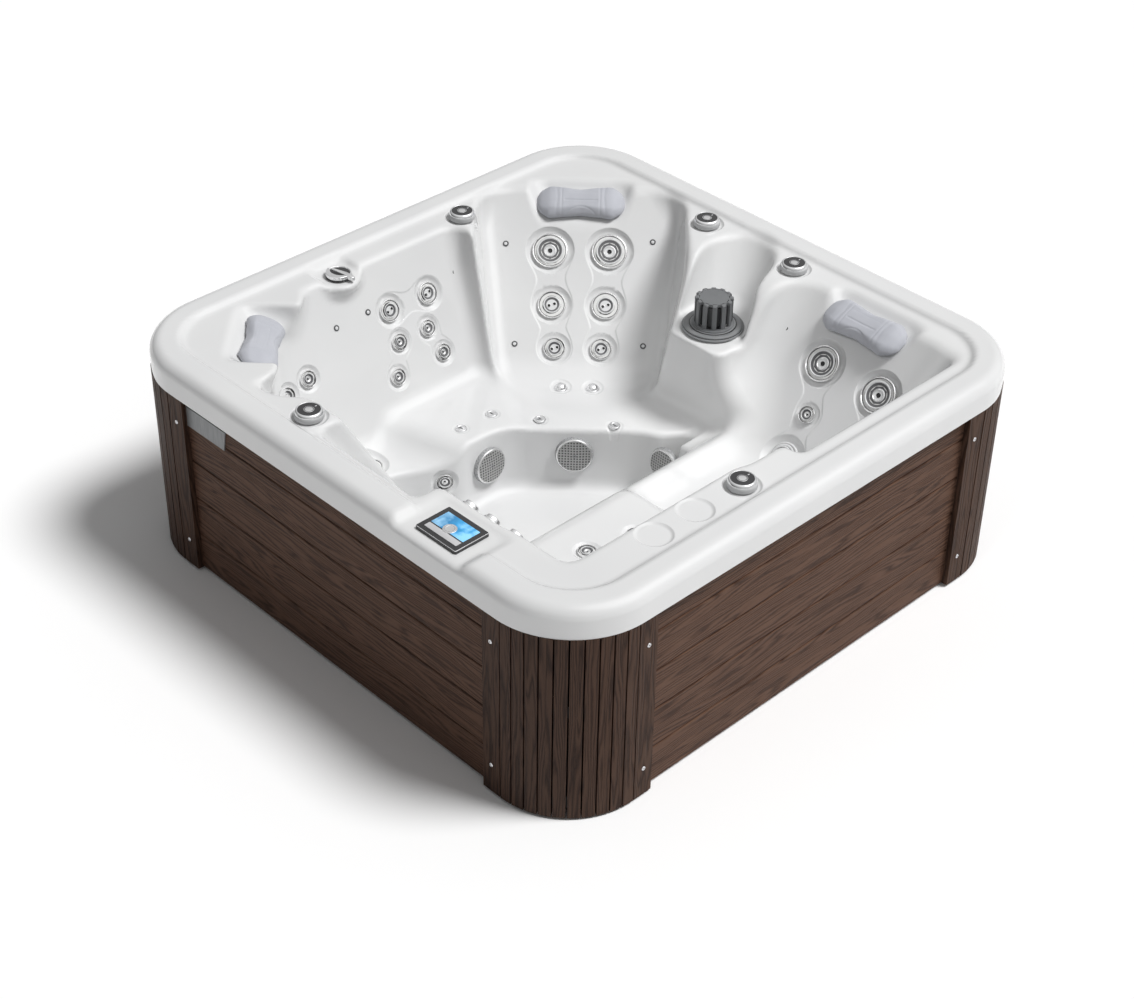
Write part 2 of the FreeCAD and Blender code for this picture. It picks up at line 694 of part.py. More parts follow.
def basket():
    """Slotted basket that lifts out of the flange; its skirt runs down into the canister."""
    outer = basket_radius
    inner = basket_radius - basket_wall
    low = canister_flange - basket_skirt_length
    top = low + basket_skirt_length + basket_height
    rest = filter_flange_height + seat_gap
    wide = basket_radius + basket_collar
    outline = [(outer, low), (outer, rest), (wide, rest), (wide, rest + basket_wall), (outer, rest + basket_wall),
               (outer, top), (inner, top), (inner, low)]
    body = faceted(outline, 2 * round_sides)
    slot = 2 * math.pi * basket_radius / basket_slots * slot_share
    cuts = []
    for k in range(basket_slots):
        blade = Part.makeBox(2 * basket_wall, slot, basket_height, V(inner - basket_wall / 2, -slot / 2, rest + 3 * basket_wall))
        cuts.append(blade.rotated(V(0, 0, 0), UP, 360 * (k + 0.5) / basket_slots))
    return body.cut(cuts)


def pillow():
    sections = []
    for x_share, wide_share, thick_share in pillow_section_shares:
        ring = [V(x_share * pillow_length, y * wide_share * pillow_height, z * thick_share * pillow_thickness)
                for y, z in pillow_crown_shares]
        sections.append(ring)
    faces = [polygon(sections[0]), polygon(sections[-1])]
    for left, right in zip(sections, sections[1:]):
        pairs = list(zip(left, right))
        for (a, b), (c, d) in zip(pairs, pairs[1:] + pairs[:1]):
            faces += [polygon([a, b, c]), polygon([b, d, c])]
    cushion = stitched(faces)
    for k in (-1, 0, 1):
        reach = pillow_thickness if k == 0 else 0.965 * pillow_thickness
        groove = Part.makeBox(channel_length, 2 * channel_radius, 2 * channel_radius, V(-channel_length / 2, -channel_radius, -channel_radius))
        groove.Placement = FreeCAD.Placement(V(0, k * channel_pitch, reach), FreeCAD.Rotation(V(1, 0, 0), 45)).multiply(groove.Placement)
        cushion = cushion.cut(groove)
    return cushion


def pillow_place(heading, reach_share, along_share):
    axis = outward(heading, pillow_lean) * -1
    side = turn(heading - 90)
    point = turn(heading) * (reach_share * half) + side * (along_share * half) + UP * pillow_recess_height
    return point + axis * seat_gap, axis, side


def panel():
    w, d, c = panel_width / 2, panel_depth / 2, panel_corner
    outline = [(-w + c, -d), (w - c, -d), (w, -d + c), (w, d - c), (w - c, d), (-w + c, d), (-w, d - c), (-w, -d + c)]
    body = prism(outline, panel_height, 0)
    rim = [edge for edge in body.Edges if min(v.Z for v in edge.Vertexes) > panel_height - seat_gap]
    body = body.makeChamfer(panel_bevel, rim)
    screen = box_at(screen_width, screen_depth, screen_recess + overrun, 0, screen_offset, panel_height - screen_recess)
    dial = faceted([(0, panel_height), (dial_radius, panel_height), (dial_radius, panel_height + dial_height),
                    (0, panel_height + dial_height)], dish_sides)
    return body.cut(screen).fuse(dial.translated(V(0, dial_offset, 0)))


def board_row():
    tops = [board_first_top + board_pitch * k for k in range(board_count - 1)] + [board_top]
    bottoms = [board_bottom] + [top + board_gap for top in tops[:-1]]
    length = 2 * post_line + post_width
    back = board_face - board_thickness
    boards = []
    for low, high in zip(bottoms, tops):
        points = [(back, low), (board_face - board_bevel, low), (board_face, low + board_bevel),
                  (board_face, high - board_bevel), (board_face - board_bevel, high), (back, high)]
        face = polygon([V(-length / 2, -y, z) for y, z in points])
        boards.append(face.extrude(V(length, 0, 0)))
    return boards


def slats():
    """Upright slats round one corner."""
    step = 90 / slat_count
    margin = math.degrees(slat_gap / slat_outer) / 2
    inner = slat_outer - slat_thickness
    made = []
    for k in range(slat_count):
        low, high = turn(k * step + margin - 90), turn((k + 1) * step - margin - 90)
        centre = V(corner_centre, -corner_centre, 0)
        corners = [low * inner, low * slat_outer, high * slat_outer, high * inner]
        outline = [(centre.x + point.x, centre.y + point.y) for point in corners]
        made.append(prism(outline, lip_bottom - seat_gap - board_bottom, board_bottom))
    return made


def corner_ring(bottom):
    """Bent backing for the slats, in as many flats as there are slats to two."""
    bends = slat_count // 2
    outer = slat_outer - slat_thickness - seat_gap
    rays = [turn(90 * k / bends - 90) for k in range(bends + 1)]
    reach = outer * math.cos(math.radians(90 / slat_count))
    points = [ray * reach for ray in rays] + [ray * (reach - rail_depth) for ray in reversed(rays)]
    return prism([(corner_centre + point.x, point.y - corner_centre) for point in points], rail_height, bottom)


def frame_pieces():
    """Rails, uprights and corner rings for one side; the panel recess clears the top rail."""
    low = pan_height + seat_gap
    high = deck_height - shell_wall - seat_gap - rail_height
    line = board_face - board_thickness - seat_gap - rail_depth / 2
    pieces = []
    for bottom in (low, high):
        pieces.append(box_at(2 * corner_centre, rail_depth, rail_height, 0, -line, bottom))
    for bottom in (low, mid_ring_height, high):
        pieces.append(corner_ring(bottom))
    for x in upright_lines:
        pieces.append(box_at(upright_width, rail_depth, high - low - rail_height, x, -line, low + rail_height))
    return pieces


def cabinet_frame():
    pieces = around(frame_pieces())
    notch = panel_recess(shell_wall + seat_gap)
    return [piece.cut(notch) if piece.distToShape(notch)[0] == 0 else piece for piece in pieces]


def octagon(half_width, corner, bottom, top):
    w, c = half_width, half_width - corner
    outline = [(c, -w), (w, -c), (w, c), (c, w), (-c, w), (-w, c), (-w, -c), (-c, -w)]
    return prism(outline, top - bottom, bottom)


def base_pan():
    edge = board_face - board_thickness - seat_gap
    pan = octagon(edge, pan_corner, 0, pan_height)
    well = octagon(edge - pan_rim, pan_corner, pan_floor, pan_height + overrun)
    x1, y1, x2, y2 = [share * half for share in pad_shares]
    pad = Part.makeBox(x2 - x1, y2 - y1, floor_height - shell_wall - seat_gap - pan_floor, V(x1, y1, pan_floor))
    return pan.cut(well).fuse(pad)


def motor():
    count = 4 * motor_fins
    points = []
    for k in range(count):
        radius = motor_radius + (motor_fin if k % 4 < 2 else 0)
        points.append(turn(360 * (k - 0.5) / count) * radius)
    body = polygon(points).extrude(UP * motor_length)
    bore = faceted([(0, 0), (rotor_shaft_radius + running_gap, 0), (rotor_shaft_radius + running_gap, motor_bore_length),
                    (0, motor_bore_length)], round_sides)
    body = placed(body.cut(bore.translated(UP * (motor_length - motor_bore_length))), pump_place - V(motor_length, 0, 0), V(1, 0, 0))
    foot_bottom = pan_floor + seat_gap
    foot = box_at(foot_length, foot_width, pump_axis_height - motor_radius / 2 - foot_bottom,
                  pump_place.x - motor_length / 2, pump_place.y, foot_bottom)
    return body.fuse(foot).removeSplitter()


def wet_end():
    """Pump casing round the impeller, open to the pipe in front and to the shaft behind."""
    shaft = rotor_shaft_radius + running_gap
    outline = [(shaft, 0), (volute_radius, 0), (volute_radius, volute_length), (pipe_radius, volute_length),
               (pipe_radius, volute_length - volute_wall), (volute_radius - volute_wall, volute_length - volute_wall),
               (volute_radius - volute_wall, volute_wall), (shaft, volute_wall)]
    body = faceted(outline, dish_sides)
    return placed(body, pump_place + V(seat_gap, 0, 0), V(1, 0, 0))


def rotor():
    start = volute_wall + 2 * running_gap
    radius = rotor_shaft_radius - running_gap / 4
    back = faceted([(0, start), (impeller_radius, start), (impeller_radius, start + impeller_plate), (0, start + impeller_plate)], dish_sides)
    length = motor_bore_length - overrun
    shaft = faceted([(0, -length), (radius, -length), (radius, start + impeller_plate), (0, start + impeller_plate)], round_sides)
    hub = faceted([(0, start + impeller_plate), (2 * radius, start + impeller_plate), (2 * radius, start + blade_height), (0, start + blade_height)], round_sides)
    wheel = back.fuse([shaft, hub])
    for k in range(impeller_blades):
        blade = Part.makeBox(impeller_radius - 2.5 * radius, blade_thickness, blade_height, V(1.5 * radius, 0, start + impeller_plate / 2))
        wheel = wheel.fuse(blade.rotated(V(0, 0, 0), UP, 360 * k / impeller_blades))
    return placed(wheel.removeSplitter(), pump_place + V(seat_gap, 0, 0), V(1, 0, 0))


def rod(radius, start, axis, length, sides):
    return placed(faceted([(0, 0), (radius, 0), (radius, length), (0, length)], sides), start, axis)


heater_start = V(heater_start_share * half, pump_place.y, pump_axis_height)


def heater():
    body = rod(heater_radius, heater_start, V(1, 0, 0), heater_length, round_sides)
    bottom = pan_floor + seat_gap
    for share in (0.2, 0.8):
        saddle = box_at(saddle_width, heater_radius, pump_axis_height - heater_radius / 2 - bottom,
                        heater_start.x + share * heater_length, heater_start.y, bottom)
        body = body.fuse(saddle)
    return body.removeSplitter()


def control_box():
    line = board_face - board_thickness - 2 * seat_gap - rail_depth - control_box_depth / 2
    middle = (upright_lines[-1] + upright_lines[-2]) / 2
    body = box_at(control_box_width, control_box_depth, control_box_height, middle, -line, control_box_bottom)
    lid = box_at(control_box_width - 2 * control_box_lid, control_box_lid, control_box_height - 2 * control_box_lid, middle,
                 control_box_depth / 2 + control_box_lid / 2 - line, control_box_bottom + control_box_lid)
    return body.fuse(lid)


def pipework():
    """Pipe from the pump to the heater, riser and manifold from the top of the casing, and the return."""
    ahead = V(1, 0, 0)
    start = pump_place + V(volute_length + 2 * seat_gap, 0, 0)
    pieces = [rod(pipe_radius, start, ahead, heater_start.x - seat_gap - start.x, round_sides)]
    base = pump_place + V(volute_length / 2, 0, volute_radius + seat_gap)
    rise = manifold_height - base.z
    riser = rod(pipe_radius, base, UP, rise + pipe_radius, round_sides)
    run = rod(pipe_radius, V(base.x + pipe_radius, base.y, manifold_height), ahead * -1, manifold_length, round_sides)
    pieces.append(riser.fuse(run).removeSplitter())
    tip = heater_start + V(heater_length + seat_gap, 0, 0)
    turn_x = tip.x + 2 * pipe_radius
    out = rod(pipe_radius, tip, ahead, 3 * pipe_radius, round_sides)
    back = rod(pipe_radius, V(turn_x, tip.y - pipe_radius, tip.z), V(0, 1, 0), 4 * pipe_radius, round_sides)
    pieces.append(out.fuse(back).removeSplitter())
    return pieces


gland_place = V(gland_place_share * half, board_face, gland_height)


def cable_gland():
    wide = gland_radius + volute_wall
    outline = [(gland_bore, -gland_length), (gland_radius, -gland_length), (gland_radius, seat_gap), (wide, seat_gap),
               (wide, gland_head), (gland_radius, gland_head + volute_wall), (gland_bore, gland_head + volute_wall)]
    return placed(faceted(outline, small_sides), gland_place, V(0, 1, 0))


write("shell", [shell()])
write("base_pan", [base_pan()])
write("cabinet_frame", cabinet_frame())
rows = board_row()
for count, side in enumerate(["front_boards", "right_boards", "back_boards", "left_boards"]):
    turned = [board.rotated(V(0, 0, 0), UP, 90 * count) for board in rows]
    if side == "back_boards":
        hole = rod(gland_radius + jet_hole_gap, gland_place - V(0, gland_length, 0), V(0, 1, 0), 2 * gland_length, small_sides)
        turned = [board.cut(hole) for board in turned]
    write(side, turned)
write("corner_slats", around(slats()))
posts = []
screws = []
screw = faceted([(0, 0), (screw_head_radius, 0), (screw_head_radius / 2, screw_head_height), (0, screw_head_height)], small_sides)
for x in (-post_line, post_line):
    posts.append(box_at(post_width, post_face - board_face - seat_gap, lip_bottom - seat_gap - board_bottom, x,
                        -(post_face + board_face + seat_gap) / 2, board_bottom))
    for share in screw_height_shares:
        screws.append(placed(screw, V(x, -post_face, share * lip_bottom), V(0, -1, 0)))
write("corner_posts", around(posts))
write("post_screws", around(screws))

bodies = []
for name, (size, point, axis) in jets.items():
    bodies.append(placed(jet_body(size), point, axis))
    bodies.append(placed(jet_nut(size), point - axis * (shell_wall + seat_gap), axis))
    write(name, [placed(jet_insert(size), point, axis)])
write("jet_bodies", bodies)
fixed = [placed(flush_fitting(), point, axis) for point, axis in floor_fittings + neck_fittings]
fixed += [placed(dome_fitting(), point, axis) for point, axis in dome_fittings + [dome_cap]]
fixed += [placed(spout_fitting(), point, axis) for point, axis in spout_fittings]
write("fixed_jets", fixed)
write("air_injectors", [placed(injector(), point, axis) for point, axis in injectors])
write("suction_covers", [placed(suction_cover(), point, axis) for point, axis in covers])

valves = [placed(valve_body(-cap_dish_depth), point, UP) for point in cap_places.values()]
valves.append(placed(valve_body(0.0), lever_place, UP))
write("valve_bodies", valves)
for name, point in cap_places.items():
    write(name, [placed(air_cap(), point - UP * cap_dish_depth, UP)])
write("diverter_lever", [placed(diverter_lever(), lever_place, UP)])

write("filter_canister", [placed(canister(), filter_place, UP)])
write("filter_flange", [placed(filter_flange(), filter_place, UP)])
write("filter_cartridge", [placed(cartridge(), filter_place, UP)])
write("skimmer_basket", [placed(basket(), filter_place, UP)])
for name, place in pillow_place_shares.items():
    write(name, [placed(pillow(), *pillow_place(*place))])
write("control_panel", [placed(panel(), panel_place + UP * seat_gap, UP)])

write("jet_pump_motor", [motor()])
write("jet_pump_wet_end", [wet_end()])
write("pump_rotor", [rotor()])
write("heater", [heater()])
write("control_box", [control_box()])
write("pipework", pipework())
write("cable_gland", [cable_gland()])
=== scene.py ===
"""Looks of the hot tub: moulded acrylic shell, detailed jets, fittings, cushions and boards on the CAD frame."""
import bpy
import bmesh
import json
import numpy as np
from math import copysign, cos, hypot, pi, radians, sin, tan
from mathutils import Matrix, Vector


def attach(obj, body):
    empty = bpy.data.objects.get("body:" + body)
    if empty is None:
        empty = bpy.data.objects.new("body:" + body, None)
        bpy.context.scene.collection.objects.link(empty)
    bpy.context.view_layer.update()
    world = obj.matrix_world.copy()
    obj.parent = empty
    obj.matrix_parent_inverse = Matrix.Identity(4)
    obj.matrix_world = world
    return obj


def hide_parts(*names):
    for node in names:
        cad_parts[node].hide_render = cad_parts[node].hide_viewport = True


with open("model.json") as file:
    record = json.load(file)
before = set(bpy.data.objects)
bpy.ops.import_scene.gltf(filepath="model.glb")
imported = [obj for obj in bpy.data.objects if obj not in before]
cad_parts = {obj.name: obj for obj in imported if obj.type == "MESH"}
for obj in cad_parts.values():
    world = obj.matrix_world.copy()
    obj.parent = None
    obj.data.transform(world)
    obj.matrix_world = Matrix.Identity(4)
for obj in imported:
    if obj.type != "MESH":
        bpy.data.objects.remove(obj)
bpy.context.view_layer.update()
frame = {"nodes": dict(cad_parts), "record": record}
scene = bpy.context.scene

# Lengths are in millimetres. Places and reaches on the plan are shares of HALF, heights on a wall shares of DECK.
MM = 0.001
HALF = 1075.0  # half the width of the tub
CORNER = 300.0  # radius of its corners on the plan
TOP, ROLL, HEM = 796.0, 42.0, 693.0  # height of the rim, radius of its edge, lower end of its skirt
DECK, DECK_HALF, DECK_CORNER = 780.0, 967.5, 192.5
SEAT, BENCH, SHELF = 286.0, 290.0, 600.0  # levels of the back seat, the side bench and the filter shelf
LEVER_FLOOR, PANEL_FLOOR = 764.0, 774.0
ALCOVE = 130.0  # radius of the round space over the filter
PILLOW_LEVEL, PILLOW_LEAN = 722.0, 66
WALL = 15.0  # thickness of the shell
UP = Vector((0, 0, 1))


# ---------------------------------------------------------------- materials
def new_material(name):
    mat = bpy.data.materials.new(name)
    mat.use_nodes = True
    tree = mat.node_tree
    return mat, tree, tree.nodes["Principled BSDF"]


def feed(tree, made, inputs):
    """Sets or links the named inputs of a node."""
    for key, value in inputs.items():
        if isinstance(value, bpy.types.NodeSocket):
            tree.links.new(value, made.inputs[key])
        else:
            made.inputs[key].default_value = value


def node(tree, kind, inputs=None, **settings):
    made = tree.nodes.new("ShaderNode" + kind)
    for key, value in settings.items():
        setattr(made, key, value)
    feed(tree, made, inputs or {})
    return made


def ramp(tree, factor, stops):
    made = node(tree, "ValToRGB", {"Fac": factor})
    elements = made.color_ramp.elements
    elements[0].position, elements[0].color = stops[0][0], stops[0][1] + (1,)
    elements[1].position, elements[1].color = stops[-1][0], stops[-1][1] + (1,)
    for place, colour in stops[1:-1]:
        elements.new(place).color = colour + (1,)
    return made.outputs["Color"]


def span(tree, value, low, high, start=0.0, end=1.0):
    """Maps start and end onto low and high."""
    limits = {"Value": value, "From Min": start, "From Max": end, "To Min": low, "To Max": high}
    return node(tree, "MapRange", limits).outputs["Result"]


def noise(tree, vector, scale, detail=2.0, rough=0.5):
    settings = {"Vector": vector, "Scale": scale, "Detail": detail, "Roughness": rough}
    return node(tree, "TexNoise", settings).outputs["Fac"]


def relief(tree, height, strength, distance):
    return node(tree, "Bump", {"Height": height, "Strength": strength, "Distance": distance}).outputs["Normal"]


def local_place(tree):
    return node(tree, "Attribute", attribute_name="local").outputs["Vector"]


def finish(name, low, high, rough=(0.3, 0.45), metal=0.0, scale=60.0, bump=0.1, depth=0.0005, coat=0.0,
        stretch=(1, 1, 1)):
    """A surface whose colour, roughness and small relief vary with noise in object space."""
    mat, tree, shader = new_material(name)
    coords = node(tree, "TexCoord").outputs["Object"]
    placed = node(tree, "Mapping", {"Vector": coords, "Scale": stretch}).outputs["Vector"]
    fine, broad = noise(tree, placed, scale, 4.0, 0.6), noise(tree, placed, scale / 12)
    feed(tree, shader, {"Base Color": ramp(tree, broad, [(0.35, low), (0.65, high)]),
        "Roughness": span(tree, fine, *rough, 0.3, 0.7), "Metallic": metal, "Coat Weight": coat,
        "Normal": relief(tree, fine, bump, depth)})
    return mat


def wood(name, upright):
    """Dark brown board with embossed arched grain that runs along its length."""
    mat, tree, shader = new_material(name)
    parts = node(tree, "SeparateXYZ", {"Vector": node(tree, "TexCoord").outputs["Object"]})
    x, y, z = [parts.outputs[axis] for axis in "XYZ"]

    def maths(operation, first, second=0.0, third=0.0):
        return node(tree, "Math", {0: first, 1: second, 2: third}, operation=operation).outputs[0]

    # Upright slats and posts take the same wood at 0.62 of its brightness, a darker copy that is painted shade on
    # them.
    if upright:
        along, across = z, maths("MULTIPLY", maths("ARCTAN2", y, x), 1.25)
        row = maths("FLOOR", maths("DIVIDE", across, 0.052))
        spread, bend, shade = 30.0, 300.0, 0.62
    else:
        along, across = maths("ADD", x, y), z
        row = maths("FLOOR", maths("DIVIDE", maths("SUBTRACT", z, -0.0035), 0.15))
        spread, bend, shade = 21.0, 400.0, 1.0
    start = maths("ADD", along, maths("MULTIPLY", row, 3.37))

    def grain(stretch, spread, detail, rough):
        place = {"X": maths("MULTIPLY", start, stretch), "Y": maths("MULTIPLY", row, 1.7),
            "Z": maths("MULTIPLY", across, spread)}
        return noise(tree, node(tree, "CombineXYZ", place).outputs[0], 1.0, detail, rough)

    arch, wobble, fibre = grain(1.7, spread, 1.0, 0.4), grain(9.0, 90.0, 3.0, 0.6), grain(7.0, 520.0, 4.0, 0.75)
    phase = maths("ADD", maths("MULTIPLY", arch, 58.0), maths("MULTIPLY", across, bend))
    wave = maths("SINE", maths("ADD", phase, maths("MULTIPLY", wobble, 7.0)))
    line = maths("POWER", maths("MULTIPLY_ADD", wave, 0.5, 0.5), 0.55)
    tone = node(tree, "TexWhiteNoise", {"W": row}, noise_dimensions="1D").outputs["Value"]
    mixed = maths("ADD", maths("MULTIPLY", line, 0.56), maths("ADD", maths("MULTIPLY", fibre, 0.5),
        maths("MULTIPLY", tone, 0.05)))
    stops = [(0.22, (0.034, 0.016, 0.01)), (0.48, (0.064, 0.032, 0.02)), (0.72, (0.096, 0.05, 0.032)),
        (0.98, (0.128, 0.07, 0.046))]
    height = maths("ADD", maths("MULTIPLY", line, 0.8), maths("MULTIPLY", fibre, 0.35))
    feed(tree, shader, {"Base Color": ramp(tree, mixed, [(place, tuple(c * shade for c in colour)) for place,
        colour in stops]), "Specular IOR Level": 0.16, "Roughness": span(tree, fibre, 0.48, 0.66, 0.3, 0.7),
        "Normal": relief(tree, height, 0.8, 0.0012)})
    return mat


def mesh_grey(name):
    """Grey plastic with the fine crossed ribs of a suction cover."""
    mat, tree, shader = new_material(name)
    local = local_place(tree)
    first, second = [node(tree, "TexWave", {"Vector": local, "Scale": 30.0, "Distortion": 1.6},
        bands_direction=way).outputs["Fac"] for way in "XY"]
    both = node(tree, "Math", {0: first, 1: second}, operation="MAXIMUM").outputs[0]
    feed(tree, shader, {"Base Color": ramp(tree, both, [(0.25, (0.06, 0.06, 0.06)), (0.9, (0.42, 0.42, 0.415))]),
        "Roughness": span(tree, both, 0.5, 0.3), "Metallic": 0.35, "Normal": relief(tree, both, 0.6, 0.0015)})
    return mat


def screen_glow(name):
    """Lit display with a soft blue wash."""
    mat, tree, shader = new_material(name)
    local = local_place(tree)
    cloud = noise(tree, local, 30.0, 4.0)
    wash = span(tree, node(tree, "SeparateXYZ", {"Vector": local}).outputs["X"], 0.2, 0.85, -0.055, 0.06)
    mixed = node(tree, "Math", {0: wash, 1: cloud}, operation="MULTIPLY").outputs[0]
    colour = ramp(tree, mixed, [(0.06, (0.3, 0.55, 0.75)), (0.16, (0.02, 0.17, 0.36)), (0.3, (0.03, 0.26, 0.52)),
        (0.46, (0.22, 0.52, 0.8))])
    feed(tree, shader, {"Base Color": colour, "Emission Color": colour, "Emission Strength": 0.45,
        "Roughness": span(tree, cloud, 0.05, 0.14)})
    return mat


def chrome_with_painted_reflection(name):
    """Chrome with a painted reflection: dark and light areas in its colour stand for the room that it mirrors."""
    mat, tree, shader = new_material(name)
    painted_reflection_patches = noise(tree, node(tree, "TexCoord").outputs["Object"], 26.0)
    greys = [(0.37, (0.1, 0.1, 0.1)), (0.43, (0.62, 0.62, 0.62)), (0.52, (0.9, 0.9, 0.9)),
        (0.7, (0.98, 0.98, 0.98))]
    feed(tree, shader, {"Base Color": ramp(tree, painted_reflection_patches, greys), "Roughness": span(tree, painted_reflection_patches, 0.05, 0.16),
        "Metallic": 0.92})
    return mat


acrylic = finish("acrylic_white", (0.69, 0.692, 0.695), (0.715, 0.717, 0.716), (0.09, 0.16), scale=30, bump=0.04,
    depth=0.0004, coat=0.35)
acrylic_back = finish("shell_back", (0.52, 0.5, 0.46), (0.62, 0.6, 0.56), (0.55, 0.75), scale=40, bump=0.6,
    depth=0.002)
tray = finish("tray_black", (0.018, 0.018, 0.019), (0.03, 0.03, 0.031), (0.45, 0.6), scale=90, bump=0.2)
frame_steel = finish("frame_steel", (0.03, 0.031, 0.033), (0.05, 0.051, 0.053), (0.42, 0.56), 0.2, 70)
boards_mat = wood("board_wood", False)
# The upright copy of the wood is darker: painted shade.
upright_mat = wood("upright_wood", True)
steel = finish("brushed_steel", (0.6, 0.6, 0.61), (0.72, 0.72, 0.73), (0.18, 0.32), 1.0, 200, 0.08, 0.0003,
    stretch=(1, 1, 12))
pipe_plastic = finish("pipe_plastic", (0.7, 0.7, 0.69), (0.8, 0.8, 0.79), (0.35, 0.5), scale=60)
chrome = finish("chrome", (0.8, 0.805, 0.81), (0.88, 0.88, 0.89), (0.03, 0.08), 1.0, 40, 0.02, 0.0002)
trim = finish("jet_trim", (0.86, 0.86, 0.86), (0.93, 0.93, 0.93), (0.06, 0.12), 1.0, 50, 0.02, 0.0002)
pale = finish("jet_inner", (0.66, 0.665, 0.67), (0.74, 0.745, 0.75), (0.16, 0.28), 0.0, 60, 0.04, 0.0003, coat=0.4)
black = finish("gloss_black", (0.008, 0.008, 0.009), (0.016, 0.016, 0.018), (0.06, 0.14), 0.0, 50, 0.03, 0.0002,
    coat=0.3)
skirt_grey = finish("skirt_grey", (0.48, 0.485, 0.49), (0.56, 0.565, 0.57), (0.3, 0.42), 0.0, 80, 0.06, 0.0003)
dark_grey = finish("filter_grey", (0.125, 0.13, 0.135), (0.165, 0.17, 0.175), (0.34, 0.46), 0.0, 90, 0.12, 0.0004)
filter_fabric = finish("filter_fabric", (0.72, 0.73, 0.76), (0.8, 0.81, 0.84), (0.8, 0.9), 0.0, 300, 0.4, 0.0005)
foam = finish("pillow_foam", (0.445, 0.455, 0.495), (0.48, 0.49, 0.53), (0.42, 0.55), 0.0, 160, 0.12, 0.0004)
motor_paint = finish("motor_paint", (0.05, 0.055, 0.06), (0.07, 0.075, 0.08), (0.35, 0.5), 0.3, 120, 0.2, 0.0005)
cover_mesh = mesh_grey("cover_mesh")
glow = screen_glow("screen_glow")

BY_SLOT = {"acrylic": acrylic, "tray": tray, "frame_steel": frame_steel, "boards": boards_mat, "steel": steel,
    "pipe_plastic": pipe_plastic, "chrome_trim": chrome, "jet_trim": trim, "cap_trim": black,
    "grey_mesh": cover_mesh, "dark_grey": dark_grey, "filter_fabric": filter_fabric, "pillow_foam": foam,
    "panel_black": black, "motor_paint": motor_paint}
slot_of = {row["node"]: row.get("material_slot", "") for row in frame["record"].get("subparts", [])}
for name, ob in frame["nodes"].items():
    upright = name in ("corner_slats", "corner_posts")
    mat = upright_mat if upright else BY_SLOT.get(slot_of.get(name, ""))
    if mat is not None:
        ob.data.materials.clear()
        ob.data.materials.append(mat)


# ---------------------------------------------------------------- places
def turn(degrees):
    return Vector((cos(radians(degrees)), sin(radians(degrees)), 0.0))


def outward(heading, lean):
    tilt = radians(lean)
    return turn(heading) * cos(tilt) - UP * sin(tilt)


def spot(x, y, z=DECK):
    return Vector((x * HALF, y * HALF, z))


def on_wall(wall, along, height):
    heading, reach, lean = wall
    rise = height * DECK
    out = reach * HALF + rise * tan(radians(lean))
    point = turn(heading) * out + turn(heading - 90) * (along * HALF) + Vector((0, 0, SEAT + rise))
    return point, -outward(heading, lean)


# Walls: the direction they face away from, their reach at seat level and their lean in degrees.
BACK, SIDE, LOUNGE = (135, 0.51, 46), (180, 0.598, 25), (90, 0.4225, 40)
COVE, FRONT, NECK = (145, 0.142, 5), (270, 0.53, 28), (225, 0.916, 5)
# Jets: radius of the bezel, radius, depth and softness of the dish, foot of the face, share of the polished ring.
JETS = {"large": (65.0, 89.0, 14.0, 23.0, -10.2, 0.7), "medium": (51.5, 75.5, 12.0, 22.0, -9.6, 0.56),
    "small": (40.0, 63.0, 10.0, 20.0, -7.8, 0.6), "mini": (31.0, 49.0, 7.5, 16.0, -5.8, 0.62)}
# Each wall jet has its size, wall, place along the wall and height.
WALL_JETS = {"back_jet_1": ("large", BACK, -0.1005, 0.423), "back_jet_2": ("large", BACK, 0.1005, 0.423),
    "back_jet_3": ("medium", BACK, -0.0905, 0.242), "back_jet_4": ("medium", BACK, 0.0905, 0.242),
    "back_jet_5": ("small", BACK, -0.078, 0.098), "back_jet_6": ("small", BACK, 0.078, 0.098),
    "side_jet_1": ("small", SIDE, -0.124, 0.41), "side_jet_2": ("small", SIDE, 0.038, 0.409),
    "side_jet_3": ("mini", SIDE, -0.1265, 0.274), "side_jet_4": ("mini", SIDE, -0.0047, 0.276),
    "side_jet_5": ("mini", SIDE, 0.026, 0.156), "side_jet_6": ("mini", SIDE, -0.173, 0.145),
    "corner_jet_1": ("mini", SIDE, -0.4977, 0.298), "corner_jet_2": ("mini", SIDE, -0.5895, 0.272),
    "riser_jet": ("mini", COVE, -0.3995, -0.158), "lounge_jet_1": ("large", LOUNGE, 0.4177, 0.406),
    "lounge_jet_2": ("large", LOUNGE, 0.648, 0.399), "lounge_jet_3": ("mini", LOUNGE, 0.4605, 0.233)}
LEVEL_JETS = {"corner_jet_3": ("small", 215.0, -0.516, -0.407), "foot_jet_1": ("mini", 395.0, 0.428, -0.367),
    "foot_jet_2": ("mini", 395.0, 0.467, -0.203)}
jets = {name: (row[0],) + on_wall(*row[1:]) for name, row in WALL_JETS.items()}
for name, (size, level, x, y) in LEVEL_JETS.items():
    jets[name] = (size, spot(x, y, level), UP)
floor_fittings = [(spot(*place), UP) for place in [(-0.2685, 0.103, SEAT), (-0.077, 0.2545, SEAT),
    (-0.398, -0.125, BENCH), (-0.3935, 0.004, BENCH)]]
domes = [(spot(*place, SEAT), UP) for place in [(-0.3565, 0.2815), (-0.2815, 0.3565)]]
spouts = [on_wall(FRONT, s, 0.537) for s in (-0.33, -0.4186, -0.5135)]
necks = [on_wall(NECK, s, 0.5) for s in (0.105, -0.105)]
dome_cap = on_wall(LOUNGE, 0.4586, 0.072)
covers = [on_wall((180, 0.319, 5), -0.09, -0.149), on_wall((135, 0.212, 5), -0.003, -0.126),
    on_wall((90, 0.33, 5), 0.1, -0.133), on_wall(FRONT, -0.375, 0.395)]
